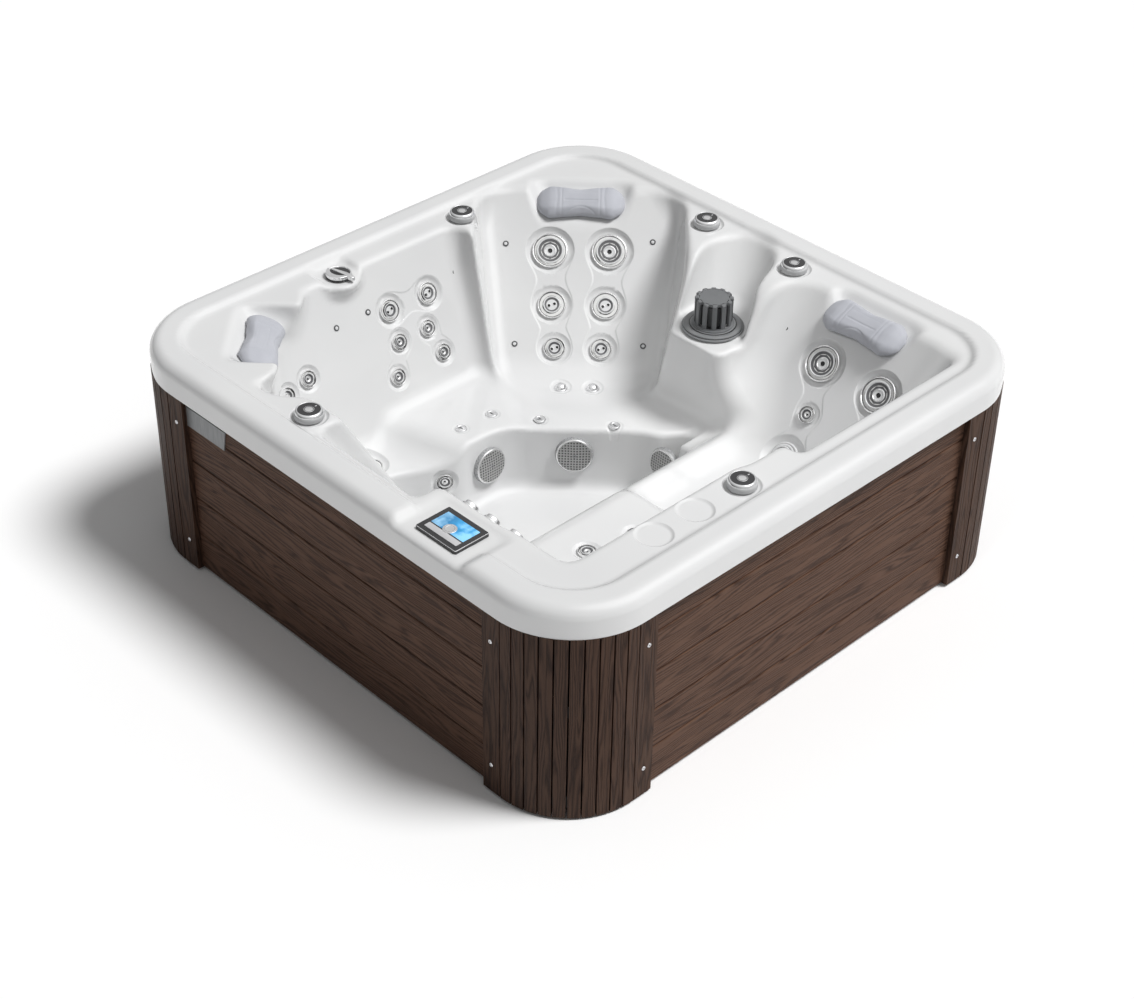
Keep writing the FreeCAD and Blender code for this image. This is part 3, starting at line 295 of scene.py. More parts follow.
injectors = [on_wall(*row) for row in [(BACK, -0.2508, 0.4412), (BACK, 0.2462, 0.4562), (BACK, -0.2119, 0.1088),
    (BACK, 0.2191, 0.11), (SIDE, 0.1642, 0.4435), (SIDE, -0.2083, 0.4421), (SIDE, -0.3399, 0.4372),
    (LOUNGE, 0.239, 0.4539), (LOUNGE, 0.2628, 0.2744)]]
caps = {"air_cap_1": spot(-0.824, 0.268), "air_cap_2": spot(-0.241, 0.833), "air_cap_3": spot(0.149, 0.825),
    "air_cap_4": spot(-0.248, -0.837), "air_cap_5": spot(0.832, -0.171)}
lever_place = spot(-0.82, -0.262, LEVER_FLOOR)
filter_place, filter_top = spot(0.0325, 0.5815, SHELF), spot(-0.0235, 0.735)
panel_place = spot(0.442, -0.898, 774.3)
cups = [spot(0.823, y) for y in (-0.35, -0.512)]
PILLOWS = {"pillow_back": (135, 0.963, 0.0), "pillow_right": (90, 0.777, 0.493), "pillow_left": (225, 0.97, 0.0)}


# ---------------------------------------------------------------- shell as a smooth field, negative in the acrylic
def smax(a, b, k):
    """Larger of two fields, blended over the width k."""
    h = np.maximum(k - np.abs(a - b), 0)
    return np.maximum(a, b) + h * h * (0.25 / k)


def smin(a, b, k):
    return -smax(-a, -b, k)


def side_of(p, heading, reach, lean, level=SEAT):
    """Distance beyond a wall that faces away from the heading and leans out above the level."""
    h, t = radians(heading), radians(lean)
    return (p[0] * cos(h) + p[1] * sin(h) - reach * HALF - (p[2] - level) * tan(t)) * cos(t)


def walled(p, rows, k, level=SEAT):
    field = side_of(p, *rows[0], level)
    for row in rows[1:]:
        field = smax(field, side_of(p, *row, level), k)
    return field


def round_box(p, half, radius):
    qx, qy = np.abs(p[0]) - (half - radius), np.abs(p[1]) - (half - radius)
    return np.sqrt(np.maximum(qx, 0) ** 2 + np.maximum(qy, 0) ** 2) + np.minimum(np.maximum(qx, qy), 0) - radius


def leaning_round(p, low, high, radius):
    axis = (high - low).normalized()
    d = [p[i] - low[i] for i in range(3)]
    t = d[0] * axis[0] + d[1] * axis[1] + d[2] * axis[2]
    return np.sqrt(sum((d[i] - t * axis[i]) ** 2 for i in range(3))) - radius


PILLOW_MOVE = {(225, 0.97, 0.0): (0.03, 0.92)}  # pillows that are moved along their wall and shortened


def pillow_field(p, heading, reach, along):
    move, share = PILLOW_MOVE.get((heading, reach, along), (0.0, 1.0))
    along = along + move
    side, back = (165.0 * share + 9.0) / HALF, (80.0 + 8.0) / HALF
    rows = [(heading, reach, PILLOW_LEAN), (heading - 90, along + side, 14), (heading + 90, side - along, 14),
        (heading, reach + back, 12), (heading + 180, 160.0 / HALF - reach, 0)]
    field = side_of(p, *rows[0], PILLOW_LEVEL)
    for row, k in zip(rows[1:], (62, 62, 46, 12)):
        field = smax(field, side_of(p, *row, PILLOW_LEVEL), k)
    return field


def shell_field(p):
    """The shell before its dishes are pressed in: hollows are joined, then taken from the rounded body."""
    z = p[2]
    low = smin(walled(p, [(180, .319, 5), (135, .212, 5), (90, .33, 5), (0, .2, 8), (270, .51, 12)], 62),
        walled(p, [(145, .142, 5), (180, .446, 6), (270, .5, 12), (0, .14, 5)], 50), 16)
    low = smax(smax(low, 40 - z, 56), z - 331, 16)
    mid = smin(walled(p, [(180, .279, 20), (135, .465, 46), (90, .4605, 1), (0, .2, 37), (270, .521, 29)], 60),
        walled(p, [(270, .614, 29.5), (180, .112, 8), (0, .186, 9), (90, 0.0, 0)], 40), 24)
    mid = smin(mid, walled(p, [(135, .51, 46), (45, .27, 10), (225, .27, 10), (25, .109, 10), (245, .109, 10),
        (90, .862, 4), (180, .862, 4), (315, -.112, 0)], 55), 24)
    mid = smax(mid, SEAT - z, 66)
    seats = walled(p, [(180, .598, 25), (270, .6456, 25), (225, .916, 5), (90, .1535, 8), (315, .23, 10),
        (0, -.186, 20)], 70)
    seats = smax(seats, 215 - z, 76)
    bench = smax(side_of(p, 286.5, .078, -45, BENCH), z - BENCH, 30)
    seats = smax(seats, -bench, 50)
    legs = smax(walled(p, [(0, .64, 14.5), (270, .53, 28), (180, -.214, 37), (90, .372, 0)], 60), 395 - z, 50)
    seat_left = walled(p, [(180, -.307, 30), (180, -.177, 1)], 30)

    def seat_part(right, right_lean, front, front_lean, k):
        room = smax(walled(p, [(0, right, right_lean), (90, .4225, 40)], 60), seat_left, 150)
        return smax(room, side_of(p, 270, front, front_lean), k)

    lounge = smin(seat_part(.655, 13.5, .02, 8, 60), seat_part(.744, 12, -.18, 14, 40), 24)
    lounge = smax(lounge, BENCH - z, 70)
    shelf = smax(walled(p, [(97, .5435, 36), (180, .2, 2), (0, .214, 2), (270, -.3, 0)], 30, SHELF), SHELF - z, 14)
    well = leaning_round(p, filter_place, filter_place + UP, ALCOVE)
    back = leaning_round(p, filter_place, filter_top, ALCOVE)
    alcove = smax(smin(well, back, 20), SHELF - z, 22)
    x, y, size = lever_place.x / HALF, lever_place.y / HALF, 70.0 / HALF
    lever = smax(walled(p, [(180, size - x, 20), (90, y + size, 20), (270, size - y, 20), (0, x + 2 * size, 0)], 34,
        LEVER_FLOOR), LEVER_FLOOR - z, 18)
    x, y = panel_place.x / HALF, panel_place.y / HALF
    side, back_reach = (87.5 + 52) / HALF, (66.0 + 26) / HALF
    panel = smax(walled(p, [(180, side - x, 35), (0, side + x, 35), (90, y + back_reach, 35)], 30, PANEL_FLOOR),
        PANEL_FLOOR - z, 14)
    air = smin(smin(low, mid, 22), seats, 20)
    air = smin(smin(air, legs, 40), lounge, 56)
    air = smin(air, alcove, 17)
    for along, out, reach in ((232.0, 1006.0, 88.0), (-168.0, 1030.0, 80.0)):
        low_end = turn(225) * (out + 26) + turn(135) * (along * 1.08) + Vector((0, 0, 560))
        high_end = turn(225) * out + turn(135) * along + Vector((0, 0, 800))
        ear = leaning_round(p, low_end, high_end, 1.0) - (reach * np.clip((z - 520) / 260, 0.02, 1.0)) + 1.0
        air = smax(air, -ear, 60)
    ledge_low = lever_place + Vector((-90, 0, -190))
    ledge = leaning_round(p, ledge_low, lever_place, 1.0) - 72 * np.clip((z - ledge_low.z) / 150, 0.02, 1.0) + 1.0
    air = smax(air, -smax(ledge, z - lever_place.z, 26), 40)
    deck = smax(round_box(p, DECK_HALF, DECK_CORNER), DECK - z, 20)
    air = smin(air, smin(deck, shelf, 80), 22)
    for other in [lever, panel] + [pillow_field(p, *place) for place in PILLOWS.values()]:
        air = smin(air, other, 17)
    outside = round_box(p, HALF, CORNER)
    rim = np.maximum(outside + ROLL, 0) ** 2 + np.maximum(z - TOP + ROLL, 0) ** 2
    body = np.minimum(-ROLL, np.maximum(outside, z - TOP)) + np.sqrt(rim)
    return smax(body, -air, 20)


# Shallow pressed outlines that join jets: each row is a jet and half the width of the bar to the next.
CHAINS = [[("back_jet_1", 55), ("back_jet_3", 48), ("back_jet_5", 0)],
    [("back_jet_2", 55), ("back_jet_4", 48), ("back_jet_6", 0)], [("side_jet_1", 40), ("side_jet_2", 0)],
    [("side_jet_3", 30), ("side_jet_6", 0)], [("side_jet_4", 30), ("side_jet_5", 0)],
    [("lounge_jet_1", 42), ("lounge_jet_3", 40), ("dome_cap", 0)], [("lounge_jet_2", 42), ("lounge_low", 0)]]


def flat_frame(axis):
    side = Vector((-axis.y, axis.x, 0))
    side = side.normalized() if side.length > 1e-6 else Vector((1, 0, 0))
    return side, axis.cross(side)


def step(t):
    t = np.clip(t, 0, 1)
    return t * t * (3 - 2 * t)


spots_at = {name: (JETS[size][1], point, axis) for name, (size, point, axis) in jets.items()}
spots_at["dome_cap"] = (84.0,) + dome_cap
spots_at["lounge_low"] = (49.0,) + on_wall(LOUNGE, 0.69, 0.228)
# Round dishes: point, axis, radius, depth and softness.
dents = [(point, axis) + JETS[size][1:4] for size, point, axis in jets.values()]
dents += [dome_cap + (84.0, 12.0, 26.0)]
dents += [(point, UP, 62.0, 8.0, 11.0) for point in caps.values()]
dents += [(point, UP, 60.0, 5.5, 12.0) for point in cups]
dents += [place + (40.0, 2.5, 9.0) for place in domes]
dents += [place + (32.0, 2.0, 8.0) for place in floor_fittings + necks]


def dents_at(p):
    """Depth pressed into the wall at each point, and the distance to the nearest pressed edge."""
    depth = np.zeros(len(p))
    near = np.full(len(p), 1e3)
    for point, axis, radius, deep, soft in dents:
        rel = p - np.array(point)
        rise = rel @ np.array(axis)
        flat = np.sqrt(np.maximum((rel * rel).sum(1) - rise ** 2, 0))
        inside = np.abs(rise) < 45
        t = np.clip((radius - flat) / soft, 0, 1)
        depth = np.maximum(depth, np.where(inside, deep * (0.2 * step(t) + 0.8 * t * (2 - t)), 0))
        near = np.minimum(near, np.where(inside, flat - radius, 1e3))
    for chain in CHAINS:
        _, origin, axis = spots_at[chain[0][0]]
        side, rise_dir = flat_frame(axis)
        rel = p - np.array(origin)
        rise = rel @ np.array(axis)
        u, v = rel @ np.array(side), rel @ np.array(rise_dir)
        field = np.full(len(p), 1e3)
        spots = []
        for name, bar in chain:
            place = spots_at[name][1] - origin
            spots.append((place.dot(side), place.dot(rise_dir), spots_at[name][0] + 1, bar))
        for (x0, y0, r0, bar), (x1, y1, r1, _) in zip(spots, spots[1:]):
            length = hypot(x1 - x0, y1 - y0)
            dx, dy = (x1 - x0) / length, (y1 - y0) / length
            t = np.clip((u - x0) * dx + (v - y0) * dy, 0, length)
            across = np.sqrt((u - x0 - t * dx) ** 2 + (v - y0 - t * dy) ** 2) - bar
            field = np.minimum(field, across)
        rings = np.full(len(p), 1e3)
        for x0, y0, r0, _ in spots:
            rings = np.minimum(rings, np.sqrt((u - x0) ** 2 + (v - y0) ** 2) - r0)
        field = smin(field, rings, 40)
        inside = np.abs(rise) < 45
        depth = np.maximum(depth, np.where(inside, 2.2 * step(-field / 6.0), 0))
        near = np.minimum(near, np.where(inside, field, 1e3))
    return depth, near


def base_field(p):
    return shell_field(p.T)


def full_field(p):
    return base_field(p) + dents_at(p)[0]


def gradient(field, p, gap):
    made = np.empty_like(p)
    for axis in range(3):
        shift = np.zeros(3)
        shift[axis] = gap
        made[:, axis] = (field(p + shift) - field(p - shift)) / (2 * gap)
    return made


def settle(field, p, rounds, gap=0.8):
    for _ in range(rounds):
        slope = gradient(field, p, gap)
        size = np.maximum((slope ** 2).sum(1), 0.05)
        move = slope * (field(p) / size)[:, None]
        length = np.maximum(np.sqrt((move ** 2).sum(1)), 1e-9)
        p = p - move * np.minimum(1, 8.0 / length)[:, None]
    return p


def surface_net(cell):
    """Quads round the zero level of the shell field on an even grid."""
    xs = np.arange(-1092, 1093, cell, dtype=float)
    zs = np.arange(16, 816, cell, dtype=float)
    values = shell_field([xs[:, None, None], xs[None, :, None], zs[None, None, :]]).astype(np.float32)
    solid = values < 0
    n = np.array(values.shape) - 1
    count = np.zeros(n, np.int8)
    corners = list(np.ndindex(2, 2, 2))
    for i, j, k in corners:
        count += solid[i:i + n[0], j:j + n[1], k:k + n[2]]
    active = (count > 0) & (count < 8)
    cells = np.argwhere(active)
    ident = np.full(n, -1, np.int64)
    ident[active] = np.arange(len(cells))
    total = np.zeros((len(cells), 3))
    hits = np.zeros(len(cells))
    for a in corners:
        for axis in range(3):
            if a[axis]:
                continue
            b = list(a)
            b[axis] = 1
            va = values[tuple((cells + a).T)]
            vb = values[tuple((cells + b).T)]
            cross = (va < 0) != (vb < 0)
            t = np.where(cross, va / np.where(cross, va - vb, 1), 0)
            place = np.array(a, float) + np.eye(3)[axis] * t[:, None]
            total += place * cross[:, None]
            hits += cross
    points = (cells + total / hits[:, None]) * cell + np.array([xs[0], xs[0], zs[0]])
    quads = []
    for axis in range(3):
        u, v = (axis + 1) % 3, (axis + 2) % 3
        at = np.argwhere(np.diff(solid, axis=axis))
        at = at[(at[:, u] > 0) & (at[:, v] > 0) & (at[:, u] < n[u]) & (at[:, v] < n[v])]
        filled = solid[tuple(at.T)]
        ring = []
        for du, dv in ((-1, -1), (0, -1), (0, 0), (-1, 0)):
            c = at.copy()
            c[:, u] += du
            c[:, v] += dv
            ring.append(ident[tuple(c.T)])
        ring = np.stack(ring, 1)
        ring[~filled] = ring[~filled][:, ::-1]
        quads.append(ring)
    quads = np.concatenate(quads)
    quads = quads[(quads >= 0).all(1)]
    middle = points[quads].mean(1)
    quads = quads[~((middle[:, 2] < HEM) & (round_box(middle.T, HALF, CORNER) > -25))]
    used = np.unique(quads)
    remap = np.full(len(points), -1)
    remap[used] = np.arange(len(used))
    return points[used], remap[quads]


def open_edges(quads):
    pairs = np.concatenate([quads[:, [k, (k + 1) % 4]] for k in range(4)])
    keys = np.sort(pairs, 1)
    _, index, counts = np.unique(keys, axis=0, return_index=True, return_counts=True)
    return pairs[index[counts == 1]]


def shade_smooth(mesh):
    mesh.polygons.foreach_set("use_smooth", [True] * len(mesh.polygons))


def make_shell():
    """Front sheet on the field with pressed details, its back sheet one wall behind, closed round the rim."""
    points, quads = surface_net(12.0)
    edges = open_edges(quads)
    rim = np.unique(edges)
    points = settle(base_field, points, 4)
    points[rim, 2] = HEM
    normals = gradient(base_field, points, 1.0)
    normals /= np.maximum(np.linalg.norm(normals, axis=1), 1e-9)[:, None]
    thick = np.full(len(points), WALL)
    for _ in range(4):
        there = base_field(points - normals * thick[:, None])
        thick = np.where(there > -0.55 * thick, thick * 0.6, thick)
    back = points - normals * thick[:, None]
    back[rim, 2] = HEM
    count = len(points)
    bm = bmesh.new()
    verts = [bm.verts.new(p) for p in points.tolist()]
    for q in quads.tolist():
        bm.faces.new([verts[i] for i in q])
    for reach in (26.0, 12.0):
        bm.faces.ensure_lookup_table()
        centres = np.array([f.calc_center_median() for f in bm.faces])
        inner = dents_at(centres)[1]
        chosen = np.nonzero((inner < reach) & (inner > -24.0))[0]
        cut = set()
        for i in chosen:
            cut.update(e for e in bm.faces[i].edges if not e.is_boundary)
        bmesh.ops.subdivide_edges(bm, edges=list(cut), cuts=1, use_grid_fill=True)
    sheet = list(bm.verts)
    verts = sheet[:count]
    front = np.array([v.co for v in sheet])
    fixed = front[rim].copy()
    front = settle(full_field, front, 3)
    front[rim] = fixed
    slope = gradient(full_field, front, 0.8)
    slope /= np.maximum(np.linalg.norm(slope, axis=1), 1e-9)[:, None]
    for v, p in zip(sheet, front.tolist()):
        v.co = p
    behind = [bm.verts.new(p) for p in back.tolist()]
    for q in quads.tolist():
        f = bm.faces.new([behind[i] for i in reversed(q)])
        f.material_index = 1
    for a, b in edges.tolist():
        bm.faces.new([verts[b], verts[a], behind[a], behind[b]])
    mesh = bpy.data.meshes.new("shell_skin")
    bm.to_mesh(mesh)
    bm.free()
    mesh.transform(Matrix.Scale(MM, 4))
    shade_smooth(mesh)
    mesh.normals_split_custom_set_from_vertices(np.concatenate([slope, -normals]).tolist())
    return mesh


def link_new(name, data):
    ob = bpy.data.objects.new(name, data)
    scene.collection.objects.link(ob)
    return ob


def put(name, mesh, materials, body, slot_name=None, instead=()):
    for mat in materials:
        mesh.materials.append(mat)
    ob = link_new(name, mesh)
    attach(ob, body)
    if instead:
        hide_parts(*instead)


put("shell_skin", make_shell(), [acrylic, acrylic_back], "tub", "acrylic", ["shell"])


# ---------------------------------------------------------------- turned pieces
class Solid:
    """Collects points and faces in millimetres, with a local place kept for the materials."""

    def __init__(self):
        self.points, self.local, self.faces, self.slots = [], [], [], []

    def add(self, points, faces, slots, place=None, axis=None):
        matrix = frame_of(place, axis)
        start = len(self.points)
        self.points += [tuple(matrix @ Vector(p)) for p in points]
        self.local += [tuple(c * MM for c in p) for p in points]
        self.faces += [tuple(start + i for i in f) for f in faces]
        self.slots += slots

    def mesh(self, name):
        made = bpy.data.meshes.new(name)
        made.from_pydata([tuple(c * MM for c in p) for p in self.points], [], self.faces)
        made.polygons.foreach_set("material_index", self.slots)
        shade_smooth(made)
        kept = made.attributes.new("local", "FLOAT_VECTOR", "POINT")
        kept.data.foreach_set("vector", np.array(self.local, float).ravel())
        made.update()
        made.validate()
        made.set_sharp_from_angle(angle=radians(38))
        return made


def frame_of(place, axis, side=None):
    if place is None:
        return Matrix.Identity(4)
    if side is None:
        side, _ = flat_frame(axis)
    matrix = Matrix((side, axis.cross(side), axis)).transposed().to_4x4()
    return Matrix.Translation(place) @ matrix


def full_rows(rows):
    return [tuple(row) if len(row) == 3 else (*row, 0) for row in rows]


def softened(profile, radius):
    """Rounds the corners of a turned outline; each row is radius, height and, if not the first, material."""
    profile = full_rows(profile)
    out = [profile[0]]
    for before, here, after in zip(profile, profile[1:], profile[2:]):
        p, a, b = Vector(here[:2]), Vector(before[:2]), Vector(after[:2])
        reach = min(radius, (a - p).length * 0.45, (b - p).length * 0.45)
        if reach < 0.05 or p.x < 1e-6:
            out.append(here)
            continue
        start, end = p + (a - p).normalized() * reach, p + (b - p).normalized() * reach
        for t in (0.0, 0.35, 0.65, 1.0):
            q = start * (1 - t) ** 2 + p * (2 * t * (1 - t)) + end * t * t
            out.append((q.x, q.y, here[2] if t > 0.5 else before[2]))
    return out + [profile[-1]]


def lathe(profile, sides, radius=0.8, wave=None):
    rows = softened(profile, radius)
    points, faces, slots = [], [], []
    index = []
    for r, z, m in rows:
        if r < 1e-6:
            index.append([len(points)] * sides)
            points.append((0.0, 0.0, z))
        else:
            ring = []
            for k in range(sides):
                a = 2 * pi * k / sides
                here = r * (1 + wave(a, r, z)) if wave else r
                ring.append(len(points))
                points.append((here * cos(a), here * sin(a), z))
            index.append(ring)
    for (low, high), row in zip(zip(index, index[1:]), rows[1:]):
        for k in range(sides):
            j = (k + 1) % sides
            face = []
            for i in (low[k], low[j], high[j], high[k]):
                if i not in face:
                    face.append(i)
            if len(face) > 2:
                faces.append(face)
                slots.append(row[2])
    return points, faces, slots


def jet_face(size):
    """Bezel, polished hollow ring with a painted reflection, grey bands of painted shadow beside it, pale cone and
    dark nozzle holes of one turning jet.
    """
    rim, _, _, _, foot, ring = JETS[size]
    # Rows here: share of the bezel's radius, height over the foot, material.
    rows = [(0, -6, 1), (0.5, -6, 1), (0.5, -4), (0.985, -4), (1, 3.5), (0.985, 8.4), (0.955, 9.6), (0.93, 9.0),
        (0.905, 6.6, 3), (0.885, 6.4, 3)]
    hollow = [k / 8 for k in range(1, 8)]
    rows += [(0.885 + (ring + 0.05 - 0.885) * t, 6.8 - 5.4 * sin(pi * t) ** 0.8 + 1.2 * t, 4) for t in hollow]
    rows += [(ring + 0.045, 8.6, 1), (ring + 0.015, 9.6, 1), (ring - 0.015, 9.4, 1), (ring - 0.05, 7.0, 3),
        (ring * 0.84 - 0.012, 5.2, 3)]
    if size == "large":
        rows += [(0.36, 2.0, 1), (0.335, 4.8), (0.305, 5.0), (0.28, 3.2, 1), (0.165, 1.2, 1), (0.145, 2.4),
            (0.13, 1.8, 2), (0.12, -2.5, 2), (0, -2.5, 2)]
    elif size == "mini":
        rows += [(0.36, 3.6, 1), (0.33, 5.8), (0.24, 5.4), (0.15, 3.8, 1), (0.12, 0.5, 2), (0, 0.5, 2)]
    else:
        rows += [(0.38, 4.2, 1), (0, 4.4, 1)]

    def scallop(a, r, z):
        return 0.006 * cos(24 * a) if r > 0.94 * rim and z > foot + 2 else 0.0

    solid = Solid()
    solid.add(*lathe([(rim * r, foot + z, m) for r, z, m in full_rows(rows)], 72, 0.5, scallop))
    if size in ("medium", "small"):
        hole, reach = (rim * 0.1, rim * 0.19) if size == "medium" else (rim * 0.125, rim * 0.24)
        rows = [(hole * 1.5, foot + 4.0), (hole * 1.4, foot + 5.8), (hole * 1.08, foot + 5.8),
            (hole, foot + 4.9, 2), (0, foot + 4.8, 2)]
        points, faces, slots = lathe(rows, 20, 0.3)
        for way in (reach, -reach):
            solid.add([(x + way, y + 0.35 * way, z) for x, y, z in points], faces, slots)
    return solid


def set_in(solid, name, place, axis, *rest):
    """Puts a piece that is drawn round the Z axis at its place, along its axis."""
    mesh = solid.mesh(name)
    matrix = frame_of(place, axis)
    matrix.translation *= MM
    mesh.transform(matrix)
    put(name, mesh, *rest)


# Chrome of the hollow jet rings, with a painted reflection in its colour.
ring_chrome = chrome_with_painted_reflection("ring_chrome")
dark_slot = finish("slot_shadow", (0.1, 0.1, 0.105), (0.16, 0.16, 0.165), (0.3, 0.5), 0.2, 60)
for name, (size, point, axis) in jets.items():
    set_in(jet_face(size), name + "_detail", point, axis, [trim, pale, black, dark_slot, ring_chrome],
        name + "_face", "jet_trim", [name])


# ---------------------------------------------------------------- fixed fittings
fittings = Solid()
for point, axis in floor_fittings + necks:
    rows = [(0, -2.5), (21, -2.5), (21.5, 1.0), (19.5, 3.8), (14.5, 4.6), (12.0, 3.0), (0, 2.6)]
    fittings.add(*lathe(rows, 40, 0.8), point, axis)
    slit = [(x * 8.5, y * 2.4) for x, y in [(cos(a * pi / 12), sin(a * pi / 12)) for a in range(24)]]
    fittings.add([(x, y, 3.2) for x, y in slit], [tuple(range(24))], [1], point, axis)
for point, axis in domes:
    rows = [(0, -3), (24.5, -3), (25.0, 0.5), (23, 2.6), (21.6, 2.6)]
    rows += [(21.2 * cos(t), 2.6 + 15.0 * sin(t)) for t in [radians(12 * i) for i in range(1, 8)]] + [(0, 17.6)]
    fittings.add(*lathe(rows, 48, 0.6), point, axis)
point, axis = dome_cap
rows = [(0, -12, 2), (52, -12, 2), (54, -8, 2), (53.5, -4, 2), (50, -2.4, 3), (46.5, -2.6, 1), (45.5, 2.5, 2),
    (42, 4.6, 2), (38.6, 4.4, 1), (37.6, 9.5, 2), (34, 11.6, 3), (31, 11.2, 1), (29.4, 9.6, 1), (28, 9.8, 2),
    (0, 10.6, 2)]
fittings.add(*lathe(rows, 72, 0.7), point, axis)
for point, axis in spouts:
    rows = [(0, -1), (31.5, -1), (32, 2), (30, 5.5), (26, 7.0), (24.5, 15.5), (22.5, 17.6), (18.5, 17.2),
        (17.0, 14.0), (15.5, 9.0, 1), (6.0, 8.0, 1), (5, 11), (0, 11.4)]
    fittings.add(*lathe(rows, 48, 0.9), point, axis)
put("fittings_detail", fittings.mesh("fittings_detail"), [chrome, dark_slot, pale, trim], "tub", "chrome_trim",
    ["fixed_jets"])

heads = Solid()
for point, axis in injectors:
    rows = [(0, -0.5, 1), (10.6, -0.5, 1), (11.0, 1.4, 1), (9.4, 3.2, 1), (6.6, 3.4, 1), (5.8, 2.2), (4.6, 3.0),
        (0, 3.6)]
    heads.add(*lathe(rows, 28, 0.4), point, axis)
ring_grey = finish("injector_ring", (0.085, 0.087, 0.09), (0.13, 0.132, 0.135), (0.2, 0.32), 0.3, 90, 0.05)
put("injectors_detail", heads.mesh("injectors_detail"), [pale, ring_grey], "tub", None, ["air_injectors"])

drums = Solid()
for point, axis in covers:
    rows = [(0, -1, 2), (66, -1, 2), (66.5, 2, 1), (66, 14.5, 1), (64.5, 18.5, 2), (61.5, 21.2, 2), (59.0, 21.6),
        (57.5, 20.8), (40, 22.6), (16, 23.8), (9, 24), (7, 22.6, 1), (5, 22.4, 1), (4, 23.6), (0, 23.8)]

    def ribs(a, r, z):
        return 0.008 * cos(48 * a) if 60 < r and 1 < z < 16 else 0.0

    drums.add(*lathe(rows, 144, 1.0, ribs), point, axis)
cover_rim = finish("cover_rim", (0.72, 0.72, 0.72), (0.8, 0.8, 0.8), (0.12, 0.24), 0.85, 90, 0.05)
cover_side = finish("cover_side", (0.32, 0.325, 0.33), (0.44, 0.445, 0.45), (0.22, 0.34), 0.35, 120, 0.1)
put("covers_detail", drums.mesh("covers_detail"), [cover_mesh, cover_side, cover_rim], "tub", "grey_mesh",
    ["suction_covers"])


# ---------------------------------------------------------------- rim controls
for name, point in caps.items():
    rows = [(0, -4.2), (44, -4.2), (47.5, -2.0), (48, 10), (46.6, 14.6), (45.6, 15.2, 1), (45.4, 17.4, 1),
        (43.2, 22.5, 1), (40.0, 25.6, 1), (37.6, 25.8, 1), (36.6, 24.2, 2), (35.4, 23.7, 2), (18.0, 24.0, 2),
        (16.8, 24.9, 1), (15.6, 25.2, 3), (13.6, 24.4, 3), (12.4, 24.9, 1), (0, 25.5, 1)]

    def grip(a, r, z):
        return 0.006 * cos(60 * a) if r > 46 and -2 < z < 14 else 0.0

    solid = Solid()
    solid.add(*lathe(rows, 120, 0.8, grip))
    points, faces, slots = lathe([(0, 23.4, 1), (2.0, 23.4, 1), (2.0, 24.6, 1), (0, 24.8, 1)], 16, 0.3)
    solid.add([(x, y * 2.2 + 27.5, z) for x, y, z in points], faces, slots)
    set_in(solid, name + "_detail", point, UP, [skirt_grey, chrome, black, dark_slot], name + "_knob", "cap_trim",
        [name])


def arc_block(inner, outer, start, end, low, high, steps, bite=0.0):
    """Curved upright block with softened edges, as one closed piece."""
    points, faces = [], []
    soft = 1.2
    loop = [(inner, low), (outer, low), (outer, high - soft), (outer - soft, high), (inner + soft, high),
        (inner, high - soft)]
    for s in range(steps + 1):
        a = start + (end - start) * s / steps
        pull = bite * sin(pi * s / steps) ** 0.7
        for r, z in loop:
            r = r - pull if r < (inner + outer) / 2 else r
            points.append((r * cos(a), r * sin(a), z))
    n = len(loop)
    for s in range(steps):
        for k in range(n):
            j = (k + 1) % n
            faces.append((s * n + k, (s + 1) * n + k, (s + 1) * n + j, s * n + j))
    faces.append(tuple(range(n)))
    faces.append(tuple(reversed([steps * n + k for k in range(n)])))
    return points, faces, [0] * len(faces)


def slab(outline, low, high, soft, slots=(0, 0), steps=3):
    """Flat piece from a closed outline, with its upper edge rounded towards the middle."""
    n = len(outline)
    rings = [[(x, y, low) for x, y in outline]]
    size = [max(abs(p[i]) for p in outline) for i in (0, 1)]
    for s in range(steps + 1):
        a = pi / 2 * s / steps
        inset, rise = soft * (1 - cos(a)), soft * (1 - sin(a))
        rings.append([(x * (1 - inset / size[0]), y * (1 - inset / size[1]), high - rise) for x, y in outline])
    points = [p for ring in rings for p in ring]
    faces, marks = [], []
    for level in range(len(rings) - 1):
        for k in range(n):
            j = (k + 1) % n
            faces.append((level * n + k, level * n + j, (level + 1) * n + j, (level + 1) * n + k))
            marks.append(slots[0])
    faces.append(tuple((len(rings) - 1) * n + k for k in range(n)))
    marks.append(slots[1])
    faces.append(tuple(reversed(range(n))))
    marks.append(slots[0])
    return points, faces, marks


def leaf(back, tip, root, wide, heading):
    """Outline of the lever handle: narrow at its root, wide and round at its tip."""
    ring = []
    for k in range(72):
        a = 2 * pi * k / 72
        share = (1 - cos(a)) / 2
        x = tip + (back - tip) * share
        y = (wide + (root - wide) * share) * copysign(abs(sin(a)) ** 0.62, sin(a))
        c, d = cos(heading), sin(heading)
        ring.append((x * c - y * d, x * d + y * c))
    return ring


lever = Solid()
rows = [(0, 3.3, 1), (44.5, 3.3, 1), (45.5, 5.0, 1), (45.5, 8.0, 1), (44.6, 8.6), (45.2, 11.0), (44.0, 15.0),
    (41.5, 17.2), (39.5, 16.4), (38.5, 13.0, 1), (20, 14.5, 1), (0, 15.0, 1)]
lever.add(*lathe(rows, 96, 0.9))
lever.add(*arc_block(38.0, 44.8, radians(-165), radians(10), 9.0, 20.0, 40, 15.0))
points, faces, slots = slab(leaf(-29.0, 67.0, 4.5, 13.0, radians(14)), 10.0, 22.5, 5.0, (0, 0), 5)
points = [(x, y, z - 0.11 * max(hypot(x, y) - 30, 0)) for x, y, z in points]
lever.add(points, faces, slots)
set_in(lever, "lever_detail", lever_place, UP, [chrome, black, chrome], "lever", "chrome_trim", ["diverter_lever"])
